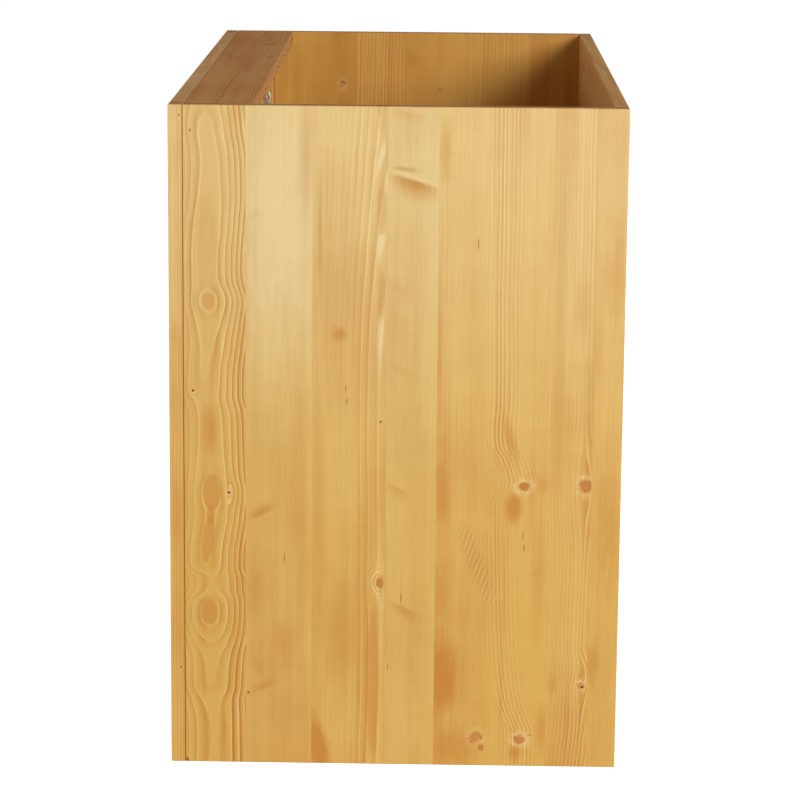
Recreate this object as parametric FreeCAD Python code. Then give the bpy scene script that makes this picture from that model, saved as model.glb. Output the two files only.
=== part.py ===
import FreeCAD, Part
import math
import os
from FreeCAD import Vector

# Corner base cabinet: a softwood carcass open at the top, a face frame with a fixed blind panel on the
# right and an inset door on the left, hung on two cup hinges.
# Everything is drawn from the left front floor corner (x to the right, y to the back, z up) and then moved,
# so that the origin is at the middle of the whole part's base.

# Driving dimensions, millimetres
width = 1000.0
depth = 570.0
height = 850.0
ease = 0.8  # chamfer on the arrises of the boards

side_thick = 18.0
frame_thick = 18.0
stile_width = 36.0
mid_stile_width = 60.0
top_rail_height = 36.0
bottom_rail_height = 36.0
toe_height = 106.0  # floor to the underside of the bottom rail
toe_setback = 60.0
toe_board_thick = 18.0

stretcher_width = 87.0
stretcher_thick = 18.0
rear_rail_thick = 18.0
rear_top_rail_height = 120.0
rear_bottom_rail_height = 100.0
rear_bottom_rail_lift = 60.0  # floor to its underside
back_thick = 5.0
bottom_thick = 18.0
cleat_width = 20.0
cleat_height = 20.0

shelf_thick = 18.0
shelf_lift = 318.0  # bottom panel to the underside of the shelf
shelf_setback = 120.0  # front of the frame to the shelf's front edge
shelf_side_gap = 1.0
shelf_rear_gap = 3.0
shelf_pin_radius = 2.5
shelf_pin_reach = 9.0  # out of the side panel
shelf_pin_sink = 9.0  # into the side panel
shelf_pin_inset = 50.0  # from the shelf's front and back edges
shelf_seat_gap = 0.2

door_opening_width = 424.0
door_thick = 18.0
door_gap_hinge = 3.5
door_gap = 2.0
door_stile_width = 60.0
door_top_rail_height = 60.0
door_bottom_rail_height = 72.0

panel_tongue = 6.0  # thickness of a panel's edge in its groove
groove_depth = 8.0
panel_end_room = 1.0  # room for the wood to move at the bottom of a groove
groove_clear = 0.2
field_setback = 3.0  # front of the frame to the raised field
field_bevel = 30.0

batten_width = 57.0  # packing under the hinge plates, front to back
stop_lap = 12.0  # door stop over the back of the door
stop_thick = 18.0
pad_size = 10.0  # felt pads between the door and its stop
pad_height = 20.0
pad_thick = 2.0
pad_clear = 0.2
pad_inset = 60.0  # from the ends of the door opening

dowel_radius = 4.0
dowel_in_face = 12.0
dowel_in_end = 18.0
dowel_end_room = 1.0
dowel_clear = 0.05
stretcher_dowel_inset = 22.0  # from the long edges of the stretcher
rail_dowel_inset = 25.0  # from the long edges of the rear top rail

worktop_hole_radius = 2.5
wall_hole_radius = 3.0
fixing_spacing = 800.0
wall_hole_drop = 60.0  # top of the cabinet to the wall holes

knob_reach = 26.0
knob_radius = 16.0
knob_neck_radius = 8.0
knob_neck_reach = 10.0
knob_bevel = 3.0  # round the front of the head
knob_edge_inset = 30.0  # from the free edge of the door
knob_drop = 110.0  # from the top of the door
knob_screw_radius = 2.0
knob_screw_depth = 12.0  # into the knob
knob_screw_head_radius = 4.0
knob_screw_head_height = 2.4
screw_clear = 0.3

hinge_inset = 79.0  # ends of the door to the hinge centres
cup_radius = 17.5
cup_edge_gap = 5.0  # edge of the door to the cup
cup_depth = 12.0
cup_wall = 1.0
cup_clear = 0.05
flange_length = 62.0
flange_width = 26.0
flange_thick = 1.0
flange_corner = 6.0  # cut off the corners of the flange
pivot_depth = 7.0  # back of the door to the hinge pin
pin_radius = 1.5
pin_clear = 0.05
eye_radius = 2.7
arm_thick = 2.4
arm_width = 14.0
neck_reach = 38.0  # opening's edge to the middle of the arm's neck
neck_radius = 9.0
plate_line = 48.0  # back of the door to the plate's wings
plate_thick = 2.0
wing_width = 10.0
wing_height = 48.0
saddle_height = 8.0
saddle_length = 32.0
saddle_width = 12.0
saddle_front = 23.0  # plate line to the front of the saddle

# Places that follow from the sizes above
opening_left = stile_width
opening_right = opening_left + door_opening_width
mid_right = opening_right + mid_stile_width
opening_low = toe_height + bottom_rail_height
opening_high = height - top_rail_height
inner_left = side_thick
inner_right = width - side_thick
bottom_low = opening_low - bottom_thick
stretcher_low = height - stretcher_thick
rear_rail_front = depth - rear_rail_thick
rear_top_low = height - rear_top_rail_height
rear_bottom_high = rear_bottom_rail_lift + rear_bottom_rail_height
groove_reach = groove_depth - panel_end_room
frame_middle = frame_thick / 2
rear_middle = depth - rear_rail_thick / 2
rear_bottom_z = (rear_bottom_rail_lift, rear_bottom_high)
between_sides = (inner_left, inner_right)

door_left = opening_left + door_gap_hinge
door_right = opening_right - door_gap
door_low = opening_low + door_gap
door_high = opening_high - door_gap
door_inner_left = door_left + door_stile_width
door_inner_right = door_right - door_stile_width
door_inner_low = door_low + door_bottom_rail_height
door_inner_high = door_high - door_top_rail_height

cup_x = door_left + cup_edge_gap + cup_radius
pivot_y = door_thick - pivot_depth
plate_y = door_thick + plate_line
hinge_levels = {"upper": door_high - hinge_inset, "lower": door_low + hinge_inset}
knob_x = door_right - knob_edge_inset
knob_z = door_high - knob_drop

to_origin = Vector(-width / 2, (knob_reach - depth) / 2, 0)
right = Vector(1, 0, 0)
back = Vector(0, 1, 0)
up = Vector(0, 0, 1)


def block(x, y, z):
    # A plain box from three (low, high) pairs.
    low = Vector(x[0], y[0], z[0])
    return Part.makeBox(x[1] - x[0], y[1] - y[0], z[1] - z[0], low)


def plank(x, y, z):
    # A board with all its arrises eased.
    box = block(x, y, z)
    return box.makeChamfer(ease, box.Edges)


def rod(radius, start, axis, length):
    return Part.makeCylinder(radius, length, start, axis)


def grown(span, by):
    return (span[0] - by, span[1] + by)


def save(name, shape):
    moved = shape.copy()
    moved.translate(to_origin)
    moved.exportStep("parts/" + name + ".step")


def dowel(start, axis):
    # A dowel from inside a board's face into the end of the next board; start is on the face.
    return rod(dowel_radius, start - axis * dowel_in_face, axis, dowel_in_face + dowel_in_end)


def dowel_hole(start, axis):
    low = dowel_in_face + dowel_end_room
    length = low + dowel_in_end + dowel_end_room
    return rod(dowel_radius + dowel_clear, start - axis * low, axis, length)


def drill(board):
    # Cut the holes of every dowel that passes this board.
    holes = Part.makeCompound([dowel_hole(*place) for place in dowel_places])
    return board.cut(holes)


def panel_groove(x, z):
    # The room that a panel's edges need round an opening.
    y = grown((frame_middle, frame_middle), panel_tongue / 2 + groove_clear)
    return block(grown(x, groove_depth), y, grown(z, groove_depth))


def fielded_panel(x, z):
    # A panel with its edges in the groove and a bevelled field towards the front.
    tongue_front = frame_middle - panel_tongue / 2
    y = (tongue_front, frame_middle + panel_tongue / 2)
    sheet = block(grown(x, groove_reach), y, grown(z, groove_reach))
    x_field = grown(x, -field_bevel)
    z_field = grown(z, -field_bevel)
    x_foot = grown(x, -panel_end_room)
    z_foot = grown(z, -panel_end_room)
    field = Part.makeWedge(
        x_field[0], field_setback, z_field[0], z_foot[0], x_foot[0],
        x_field[1], tongue_front, z_field[1], z_foot[1], x_foot[1])
    return sheet.fuse(field).removeSplitter()


def tenon_bar(x, z, middle, upright, reach, clear):
    # A bar through a piece and out of both its ends: its stub tenons or, with their clearance, the mortises.
    y = grown((middle, middle), panel_tongue / 2 + clear)
    if upright:
        return block(grown(x, clear - groove_depth), y, grown(z, reach))
    return block(grown(x, reach), y, grown(z, clear - groove_depth))


def tenoned(board, x, z, middle, upright):
    return board.fuse(tenon_bar(x, z, middle, upright, groove_reach, 0)).removeSplitter()


def mortises(x, z, middle, upright):
    return tenon_bar(x, z, middle, upright, groove_depth, groove_clear)


# Dowel places, each on the face of the side that the next board's end meets
stretcher_back = frame_thick + stretcher_width
end_places = [
    (frame_thick + stretcher_dowel_inset, height - stretcher_thick / 2),
    (stretcher_back - stretcher_dowel_inset, height - stretcher_thick / 2),
    (rear_middle, rear_top_low + rail_dowel_inset),
    (rear_middle, height - rail_dowel_inset),
]
dowel_places = []
for y, z in end_places:
    dowel_places.append((Vector(inner_left, y, z), right))
    dowel_places.append((Vector(inner_right, y, z), -right))


def side_panel(outer, inner, inward):
    # A full-height side with the back panel's groove, dowel holes and shelf-pin holes.
    x = (min(outer, inner), max(outer, inner))
    panel = plank(x, (frame_thick, depth), (0, height))
    panel = drill(panel.cut(back_groove()))
    panel = panel.cut(mortises(between_sides, rear_bottom_z, rear_middle, False))
    for y in shelf_pin_lines():
        start = Vector(inner, y, shelf_pin_level()) - inward * (shelf_pin_sink + dowel_end_room)
        length = shelf_pin_sink + 2 * dowel_end_room
        panel = panel.cut(rod(shelf_pin_radius + pin_clear, start, inward, length))
    return panel


def back_groove():
    y = grown((rear_middle, rear_middle), back_thick / 2 + groove_clear)
    x = grown(between_sides, groove_depth)
    z = (rear_bottom_high - groove_depth, rear_top_low + groove_depth)
    return block(x, y, z)


def back_panel():
    y = grown((rear_middle, rear_middle), back_thick / 2)
    x = grown(between_sides, groove_reach)
    z = (rear_bottom_high - groove_reach, rear_top_low + groove_reach)
    return block(x, y, z)


def rear_rail(z):
    return plank(between_sides, (rear_rail_front, depth), z)


def fixing_holes(radius, start, axis, length):
    # A pair of holes, evenly about the middle of the cabinet.
    pair = []
    for way in (-1, 1):
        place = start + right * (way * fixing_spacing / 2)
        pair.append(rod(radius, place, axis, length))
    return Part.makeCompound(pair)


# Carcass
def make_carcass():
    save("side_panel_left", side_panel(0, inner_left, right))
    save("side_panel_right", side_panel(width, inner_right, -right))

    stretcher = plank(between_sides, (frame_thick, stretcher_back), (stretcher_low, height))
    middle = Vector(width / 2, frame_thick + stretcher_width / 2, stretcher_low)
    holes = fixing_holes(worktop_hole_radius, middle, up, stretcher_thick)
    save("front_stretcher", drill(stretcher.cut(holes)))

    middle = Vector(width / 2, rear_rail_front, height - wall_hole_drop)
    holes = fixing_holes(wall_hole_radius, middle, back, rear_rail_thick)
    top_rail = drill(rear_rail((rear_top_low, height)).cut(holes))
    save("rear_top_rail", top_rail.cut(back_groove()))
    bottom_rail = tenoned(rear_rail(rear_bottom_z), between_sides, rear_bottom_z, rear_middle, False)
    save("rear_bottom_rail", bottom_rail.cut(back_groove()))
    save("back_panel", back_panel())

    save("bottom_panel", plank(between_sides, (frame_thick, rear_rail_front), (bottom_low, opening_low)))
    cleat_y = (toe_setback + toe_board_thick, rear_rail_front)
    cleat_z = (bottom_low - cleat_height, bottom_low)
    save("bottom_cleat_left", plank((inner_left, inner_left + cleat_width), cleat_y, cleat_z))
    save("bottom_cleat_right", plank((inner_right - cleat_width, inner_right), cleat_y, cleat_z))
    toe_y = (toe_setback, toe_setback + toe_board_thick)
    save("toe_board", plank(between_sides, toe_y, (0, bottom_low)))
    save("carcass_dowels", Part.makeCompound([dowel(*place) for place in dowel_places]))


# Face frame with the fixed blind panel
def make_frame():
    blind_x = (mid_right, width - stile_width)
    blind_z = (opening_low, opening_high)
    groove = panel_groove(blind_x, blind_z)
    y = (0, frame_thick)
    between = (stile_width, width - stile_width)
    top_z = (opening_high, height)
    bottom_z = (toe_height, opening_low)
    mid_x = (opening_right, mid_right)

    rail_mortises = mortises(between, top_z, frame_middle, False)
    rail_mortises = rail_mortises.fuse(mortises(between, bottom_z, frame_middle, False))
    for name, x in (("left", (0, stile_width)), ("right", (width - stile_width, width))):
        stile = plank(x, y, (0, height)).cut(groove)
        save("frame_stile_" + name, stile.cut(rail_mortises))
    mid_mortises = mortises(mid_x, blind_z, frame_middle, True)
    for name, z in (("top", top_z), ("bottom", bottom_z)):
        rail = tenoned(plank(between, y, z), between, z, frame_middle, False)
        save("frame_" + name + "_rail", rail.cut(groove).cut(mid_mortises))
    mid_stile = tenoned(plank(mid_x, y, blind_z), mid_x, blind_z, frame_middle, True)
    save("frame_mid_stile", mid_stile.cut(groove))
    save("blind_panel", fielded_panel(blind_x, blind_z))

    batten_y = (frame_thick, frame_thick + batten_width)
    save("hinge_batten", plank((inner_left, stile_width), batten_y, (opening_low, stretcher_low)))


# Door stop behind the mid stile, with two felt pads
def make_door_stop():
    lap = (opening_right - stop_lap, mid_right)
    y = (frame_thick, frame_thick + stop_thick)
    strip = plank(lap, y, (opening_low, stretcher_low))
    room_x = (lap[0] - ease, opening_right + ease)
    room_y = (frame_thick - ease, door_thick + pad_thick + pad_clear)
    strip = strip.cut(block(room_x, room_y, (opening_low, stretcher_low)))
    save("door_stop", strip)
    pads = []
    pad_x = (lap[0] + ease, lap[0] + ease + pad_size)
    pad_y = (door_thick + pad_clear, door_thick + pad_clear + pad_thick)
    for z in (opening_low + pad_inset, opening_high - pad_inset):
        pads.append(block(pad_x, pad_y, grown((z, z), pad_height / 2)))
    save("door_pads", Part.makeCompound(pads))


# Loose shelf on four pins
def shelf_low():
    return opening_low + shelf_lift


def shelf_pin_level():
    return shelf_low() - shelf_seat_gap - shelf_pin_radius


def shelf_pin_lines():
    shelf_back = rear_rail_front - shelf_rear_gap
    return (shelf_setback + shelf_pin_inset, shelf_back - shelf_pin_inset)


def make_shelf():
    x = grown(between_sides, -shelf_side_gap)
    y = (shelf_setback, rear_rail_front - shelf_rear_gap)
    save("shelf", plank(x, y, (shelf_low(), shelf_low() + shelf_thick)))
    pins = []
    for inner, inward in ((inner_left, right), (inner_right, -right)):
        for line in shelf_pin_lines():
            start = Vector(inner, line, shelf_pin_level()) - inward * shelf_pin_sink
            pins.append(rod(shelf_pin_radius, start, inward, shelf_pin_sink + shelf_pin_reach))
    save("shelf_pins", Part.makeCompound(pins))


# Door: frame with stub tenons and a floating panel
def make_door():
    x = (door_inner_left, door_inner_right)
    y = (0, door_thick)
    groove = panel_groove(x, (door_inner_low, door_inner_high))
    cuts = []
    for name, z in (("top", (door_inner_high, door_high)), ("bottom", (door_low, door_inner_low))):
        rail = tenoned(plank(x, y, z), x, z, frame_middle, False)
        save("door_rail_" + name, rail.cut(groove))
        cuts.append(mortises(x, z, frame_middle, False))

    cuts.append(rod(knob_screw_radius + screw_clear, Vector(knob_x, 0, knob_z), back, door_thick))
    for level in hinge_levels.values():
        mouth = Vector(cup_x, door_thick, level)
        cuts.append(rod(cup_radius + cup_clear, mouth, -back, cup_depth + cup_clear))
    for name, x_stile in (("hinge", (door_left, door_inner_left)), ("knob", (door_inner_right, door_right))):
        stile = plank(x_stile, y, (door_low, door_high)).cut(groove)
        save("door_stile_" + name, stile.cut(Part.makeCompound(cuts)))
    save("door_panel", fielded_panel(x, (door_inner_low, door_inner_high)))


# Turned knob and its screw
def knob_solid():
    # Drawn with x as the radius and y as the reach, then turned to point to the front.
    turned = [
        Vector(0, 0, 0),
        Vector(knob_neck_radius, 0, 0),
        Vector(knob_neck_radius, knob_neck_reach, 0),
        Vector(knob_radius, knob_neck_reach, 0),
        Vector(knob_radius, knob_reach - knob_bevel, 0),
        Vector(knob_radius - knob_bevel, knob_reach, 0),
        Vector(0, knob_reach, 0),
    ]
    profile = Part.Wire(Part.makePolygon(turned + turned[:1]).Edges)
    knob = Part.Solid(Part.Face(profile).revolve(turned[0], back, 360))
    knob.rotate(turned[0], up, 180)
    return knob


def make_knob():
    face = Vector(knob_x, 0, knob_z)
    knob = knob_solid()
    knob.translate(face)
    hole = rod(knob_screw_radius + pin_clear, face, -back, knob_screw_depth + dowel_end_room)
    save("door_knob", knob.cut(hole))

    shank = rod(knob_screw_radius, face - back * knob_screw_depth, back, knob_screw_depth + door_thick)
    head = rod(knob_screw_head_radius, face + back * door_thick, back, knob_screw_head_height)
    save("knob_screw", shank.fuse(head).removeSplitter())


# Hinges: a cup in the door, a pin across it, a swan-neck arm and a cross-shaped plate on the batten
def hinge_cup(level):
    mouth = Vector(cup_x, door_thick, level)
    cup = rod(cup_radius, mouth, -back, cup_depth)
    flange_x = grown((cup_x, cup_x), flange_width / 2)
    flange_y = (door_thick, door_thick + flange_thick)
    flange_z = grown((level, level), flange_length / 2)
    flange = block(flange_x, flange_y, flange_z)
    corners = [edge for edge in flange.Edges if abs(edge.tangentAt(edge.FirstParameter).y) > 0.9]
    flange = flange.makeChamfer(flange_corner, corners)
    rim = rod(cup_radius, mouth, back, flange_thick)
    top = mouth + back * flange_thick
    hollow = rod(cup_radius - cup_wall, top, -back, cup_depth + flange_thick - cup_wall)
    return cup.fuse([flange, rim]).cut(hollow).removeSplitter()


def hinge_pin(level):
    inner = cup_radius - cup_wall
    half = math.sqrt(inner ** 2 - pin_radius ** 2) - pin_clear
    return rod(pin_radius, Vector(cup_x, pivot_y, level - half), up, 2 * half)


def arm_path():
    # The middle of the arm's strip in plan: out of the cup, round the door's edge and back to the plate.
    foot_x = opening_left + saddle_height + arm_thick / 2
    neck_x = opening_left + neck_reach
    foot_front = plate_y - saddle_front
    start = Vector(cup_x, pivot_y, 0)
    shoulder = Vector(neck_x, pivot_y + neck_x - cup_x, 0)
    neck_top = Vector(neck_x, foot_front, 0)
    corner = Vector(foot_x, foot_front, 0)
    tail = Vector(foot_x, foot_front + saddle_length, 0)
    return rounded_path([start, shoulder, neck_top, corner, tail], neck_radius)


def rounded_path(points, radius):
    # Straight runs joined by tangent arcs of one radius.
    edges = []
    last = points[0]
    for before, here, after in zip(points, points[1:], points[2:]):
        inward = (before - here).normalize()
        onward = (after - here).normalize()
        half = inward.getAngle(onward) / 2
        run = radius / math.tan(half)
        first = here + inward * run
        second = here + onward * run
        bisector = (inward + onward).normalize()
        crown = here + bisector * (radius / math.sin(half) - radius)
        edges.append(Part.LineSegment(last, first).toShape())
        edges.append(Part.Arc(first, crown, second).toShape())
        last = second
    edges.append(Part.LineSegment(last, points[-1]).toShape())
    return Part.Wire(edges)


def hinge_arm(level):
    path = arm_path()
    start = path.Edges[0].valueAt(path.Edges[0].FirstParameter)
    along = path.Edges[0].tangentAt(path.Edges[0].FirstParameter)
    across = along.cross(up) * (arm_thick / 2)
    high = up * (arm_width / 2)
    corners = [start + across + high, start - across + high, start - across - high, start + across - high]
    section = Part.Wire(Part.makePolygon(corners + corners[:1]).Edges)
    strip = path.makePipeShell([section], True, False)
    eye_low = start - high
    eye = rod(eye_radius, eye_low, up, arm_width)
    bore = rod(pin_radius + pin_clear, eye_low, up, arm_width)
    arm = strip.fuse(eye).removeSplitter().cut(bore)
    arm.translate(up * level)
    return arm


def hinge_plate(level):
    face = opening_left
    wing_y = grown((plate_y, plate_y), wing_width / 2)
    wing = block((face, face + plate_thick), wing_y, grown((level, level), wing_height / 2))
    tips = [edge for edge in wing.Edges if abs(edge.tangentAt(edge.FirstParameter).x) > 0.9]
    wing = wing.makeFillet(wing_width * 0.45, tips)
    saddle_y = (plate_y - saddle_front, plate_y - saddle_front + saddle_length)
    saddle = block((face, face + saddle_height), saddle_y, grown((level, level), saddle_width / 2))
    return wing.fuse(saddle).removeSplitter()


def make_hinges():
    for name, level in hinge_levels.items():
        save("hinge_cup_" + name, hinge_cup(level))
        save("hinge_pin_" + name, hinge_pin(level))
        save("hinge_arm_" + name, hinge_arm(level))
        save("hinge_plate_" + name, hinge_plate(level))


os.makedirs("parts", exist_ok=True)
make_carcass()
make_frame()
make_door_stop()
make_shelf()
make_door()
make_knob()
make_hinges()
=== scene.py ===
import math
import random
from functools import partial

import bmesh
import bpy
from mathutils import Matrix, Vector


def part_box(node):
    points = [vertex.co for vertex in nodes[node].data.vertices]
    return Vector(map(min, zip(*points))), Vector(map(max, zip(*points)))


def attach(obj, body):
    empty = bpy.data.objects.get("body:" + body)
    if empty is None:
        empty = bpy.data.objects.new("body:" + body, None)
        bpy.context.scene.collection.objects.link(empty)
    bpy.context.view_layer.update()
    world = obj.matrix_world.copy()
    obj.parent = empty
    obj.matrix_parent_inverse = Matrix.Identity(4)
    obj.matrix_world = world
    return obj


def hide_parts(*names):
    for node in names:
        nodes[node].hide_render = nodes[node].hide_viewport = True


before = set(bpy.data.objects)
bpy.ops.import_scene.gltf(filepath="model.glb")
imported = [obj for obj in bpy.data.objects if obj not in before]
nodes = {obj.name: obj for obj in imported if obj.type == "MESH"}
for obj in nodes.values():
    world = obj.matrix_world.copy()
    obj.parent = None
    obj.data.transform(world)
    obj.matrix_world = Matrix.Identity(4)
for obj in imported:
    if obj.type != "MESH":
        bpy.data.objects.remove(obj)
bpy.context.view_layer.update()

# corner base cabinet in honey-coloured pine, open at the top, with one inset door
scene = bpy.context.scene
scene.view_settings.view_transform = "Standard"
mm = 0.001
axisNumber = {"X": 0, "Y": 1, "Z": 2}


def paint(red, green, blue):  # screen colour, 0 to 255, as the linear colour that shaders use
    linear = []
    for part in (red, green, blue):
        share = part / 255
        linear.append(share / 12.92 if share < 0.04045 else ((share + 0.055) / 1.055) ** 2.4)
    return (*linear, 1.0)


# small helpers for node trees; a socket knows the tree that it belongs to
def addNode(tree, kind, **settings):
    made = tree.nodes.new(kind)
    for name, value in settings.items():
        setattr(made, name, value)
    return made


def isSocket(value):
    return isinstance(value, bpy.types.NodeSocket)


def treeOf(*values):
    return next(value.id_data for value in values if isSocket(value))


def feed(socket, value):
    if isSocket(value):
        socket.id_data.links.new(value, socket)
    else:
        socket.default_value = value


def feedAll(sockets, values):
    for socket, value in zip(sockets, values):
        feed(socket, value)


def fill(node, values):  # by the names of its sockets
    for label, value in values.items():
        feed(node.inputs[label], value)


def grow(tree, kind, values, **settings):  # a new node with its inputs fed
    made = addNode(tree, kind, **settings)
    fill(made, values)
    return made.outputs


def calc(operation, *values):
    made = addNode(treeOf(*values), "ShaderNodeMath", operation=operation)
    feedAll(made.inputs, values)
    return made.outputs[0]


times = partial(calc, "MULTIPLY")
timesPlus = partial(calc, "MULTIPLY_ADD")
minus = partial(calc, "SUBTRACT")
over = partial(calc, "DIVIDE")
absolute = partial(calc, "ABSOLUTE")
isAbove = partial(calc, "GREATER_THAN")
larger = partial(calc, "MAXIMUM")
raisedTo = partial(calc, "POWER")
root = partial(calc, "SQRT")
sine = partial(calc, "SINE")


def plus(total, *others):
    for other in others:
        total = calc("ADD", total, other)
    return total


def fade(value, low, high, start=0.0, end=1.0):  # smooth step, falling where low is above high
    numbers = (value, low, high, start, end)
    made = addNode(treeOf(*numbers), "ShaderNodeMapRange", interpolation_type="SMOOTHSTEP")
    feedAll(made.inputs, numbers)
    return made.outputs[0]


def mixed(factor, first, second, blend="MIX"):  # of two colours
    values = (factor, first, second)
    made = addNode(treeOf(*values), "ShaderNodeMix", data_type="RGBA", blend_type=blend)
    feedAll((made.inputs[0], made.inputs[6], made.inputs[7]), values)
    return made.outputs[2]


def mixedVector(factor, first, second):
    values = (factor, first, second)
    made = addNode(treeOf(*values), "ShaderNodeMix", data_type="VECTOR")
    feedAll((made.inputs[0], made.inputs[4], made.inputs[5]), values)
    return made.outputs[1]


def split(vector, tree=None):
    made = addNode(tree or treeOf(vector), "ShaderNodeSeparateXYZ")
    feed(made.inputs[0], vector)
    return list(made.outputs)


def joined(*parts):
    made = addNode(treeOf(*parts), "ShaderNodeCombineXYZ")
    feedAll(made.inputs, parts)
    return made.outputs[0]


def stretched(vector, factors, seed=0.0):  # scaled on each axis, then moved to another part of the noise
    made = addNode(treeOf(vector), "ShaderNodeVectorMath", operation="MULTIPLY_ADD")
    shift = joined(seed, seed, seed) if isSocket(seed) else (seed, seed, seed)
    feedAll(made.inputs, (vector, factors, shift))
    return made.outputs[0]


def noise(vector, detail=2.0):
    return grow(treeOf(vector), "ShaderNodeTexNoise", {"Vector": vector, "Scale": 1.0, "Detail": detail})[0]


def swing(value, reach):  # noise from 0 to 1 turned into a swing to both sides
    return times(minus(value, 0.5), reach)


def newGroup(name, inputs, outputs):
    tree = bpy.data.node_groups.new(name, "ShaderNodeTree")
    for label, start in inputs.items():
        kind = "NodeSocketVector" if isinstance(start, tuple) else "NodeSocketFloat"
        tree.interface.new_socket(name=label, in_out="INPUT", socket_type=kind).default_value = start
    for label in outputs:
        tree.interface.new_socket(name=label, in_out="OUTPUT", socket_type="NodeSocketFloat")
    return tree, tree.nodes.new("NodeGroupInput").outputs, tree.nodes.new("NodeGroupOutput").inputs


def useGroup(group, values):
    return grow(treeOf(*values.values()), "ShaderNodeGroup", values, node_tree=group)


def newMaterial(name):
    material = bpy.data.materials.new(name)
    material.use_nodes = True
    tree = material.node_tree
    return material, tree, tree.nodes["Principled BSDF"]


def addBump(shader, height, strength, distance):
    values = {"Strength": strength, "Distance": distance, "Height": height}
    feed(shader.inputs["Normal"], grow(treeOf(height), "ShaderNodeBump", values)[0])


zero = (0.0, 0.0, 0.0)


# growth rings: distance from the pith, which runs along the board and may lie beside or under it;
# a negative pitch counts the rings inwards
def makeRingGroup():
    start = {"Board": zero, "Pith": zero, "Habit": zero, "Seed": 0.0, "Sideways": 0.0, "Deeper": 0.0,
             "Uneven": 1.1}
    tree, given, put = newGroup("pineRings", start, ["Late", "Pale"])
    across, along, through = split(given["Board"])
    pithAcross, pitch, pithDepth = split(given["Pith"])
    wander, lean, swell = split(given["Habit"])
    slow = noise(stretched(given["Board"], (5.0, 1.9, 5.0), given["Seed"]))
    quick = noise(stretched(given["Board"], (22.0, 9.0, 22.0), given["Seed"]))
    wave = timesPlus(quick, 0.22, slow)
    sideways = times(minus(wave, 0.61), wander)
    leaning = times(along, lean)
    dx = minus(across, pithAcross)
    dx = plus(minus(dx, leaning), sideways, given["Sideways"])
    lengthwise = joined(given["Seed"], times(along, 4.5), 0.0)
    swelling = times(minus(noise(lengthwise, 1.0), 0.5), swell)
    dz = plus(minus(through, pithDepth), swelling, given["Deeper"])
    square = timesPlus(dx, dx, times(dz, dz))
    radius = root(square)
    varied = noise(joined(times(radius, 90.0), given["Seed"], 0.0), 1.0)
    count = plus(over(radius, pitch), swing(varied, given["Uneven"]))
    ring = calc("FRACT", count)
    yearly = addNode(tree, "ShaderNodeTexWhiteNoise", noise_dimensions="2D")
    feed(yearly.inputs["Vector"], joined(calc("FLOOR", count), given["Seed"], 0.0))
    strength = timesPlus(yearly.outputs[0], 0.5, 0.5)
    late = times(fade(ring, 0.38, 0.9), fade(ring, 1.0, 0.93))
    feed(put["Late"], times(late, strength))
    feed(put["Pale"], times(fade(ring, 0.26, 0.03), strength))
    return tree


# fibres, streaks and clouds that every sawn face shows
def makeFibreGroup():
    start = {"Board": zero, "Seed": 0.0}
    tree, given, put = newGroup("pineFibres", start, ["Fibre", "Streak", "Cloud", "Ripple", "Band", "Pore"])
    scales = {"Fibre": (720.0, 14.0, 720.0), "Streak": (190.0, 2.6, 190.0), "Cloud": (13.0, 4.5, 13.0),
              "Ripple": (17.0, 48.0, 17.0), "Band": (42.0, 1.5, 42.0)}
    for label, factors in scales.items():
        feed(put[label], noise(stretched(given["Board"], factors, given["Seed"]), 3.0))
    dash = noise(stretched(given["Board"], (620.0, 26.0, 620.0), given["Seed"]), 1.0)
    feed(put["Pore"], fade(dash, 0.735, 0.79))
    return tree


# how far a knot pushes the grain beside it aside
def makePullGroup():
    start = {"Board": zero, "Across": 0.0, "Along": 0.0, "Radius": 0.006, "Stretch": 1.0, "Pull": 1.0}
    tree, given, put = newGroup("knotPull", start, ["Sideways"])
    across, along = split(given["Board"])[:2]
    wide = over(1.0, given["Radius"])
    tall = over(wide, given["Stretch"])
    side = timesPlus(across, wide, times(times(given["Across"], wide), -1.0))  # radii from its middle
    rise = timesPlus(along, tall, times(times(given["Along"], tall), -1.0))
    sideSquare = times(side, side)
    riseSquare = times(rise, rise)
    spread = timesPlus(sideSquare, 0.06, times(riseSquare, 0.024))
    near = raisedTo(math.e, times(spread, -1.0))
    turn = over(side, root(plus(sideSquare, 0.6)))
    pull = times(times(given["Pull"], given["Radius"]), turn)
    feed(put["Sideways"], times(pull, near))
    return tree


# a branch through the board: its own rings and a dark uneven rim
def makeKnotGroup():
    start = {"Board": zero, "Across": 0.0, "Along": 0.0, "Radius": 0.006, "Stretch": 1.0, "Seed": 0.0}
    tree, given, put = newGroup("pineKnot", start, ["Core", "Rim", "Halo", "Year", "Arcs"])
    across, along = split(given["Board"])[:2]
    side = over(minus(across, given["Across"]), given["Radius"])
    tall = times(given["Radius"], given["Stretch"])
    rise = over(minus(along, given["Along"]), tall)
    sideSquare = times(side, side)
    riseSquare = times(rise, rise)
    far = root(plus(sideSquare, riseSquare))
    own = joined(side, rise, given["Seed"])
    rough = noise(stretched(own, (0.9, 0.9, 1.0)), 3.0)
    far = plus(far, swing(rough, 1.0))
    core = fade(far, 1.15, 0.55)
    feed(put["Core"], core)
    patchy = noise(stretched(own, (0.7, 0.7, 1.0), 4.0), 2.0)
    edge = times(fade(far, 0.45, 0.95), fade(far, 1.2, 0.95))
    feed(put["Rim"], times(edge, fade(patchy, 0.42, 0.62)))
    feed(put["Halo"], times(fade(far, 2.4, 1.0), fade(patchy, 0.7, 0.4)))
    years = sine(times(far, 15.0))
    feed(put["Year"], times(fade(years, -0.6, 0.9), core))
    around = times(fade(far, 1.0, 1.3), fade(far, 3.6, 2.0))
    waves = fade(sine(times(far, 6.5)), -0.2, 0.8)
    feed(put["Arcs"], times(times(around, waves), fade(side, 0.4, -0.9)))
    return tree


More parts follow.
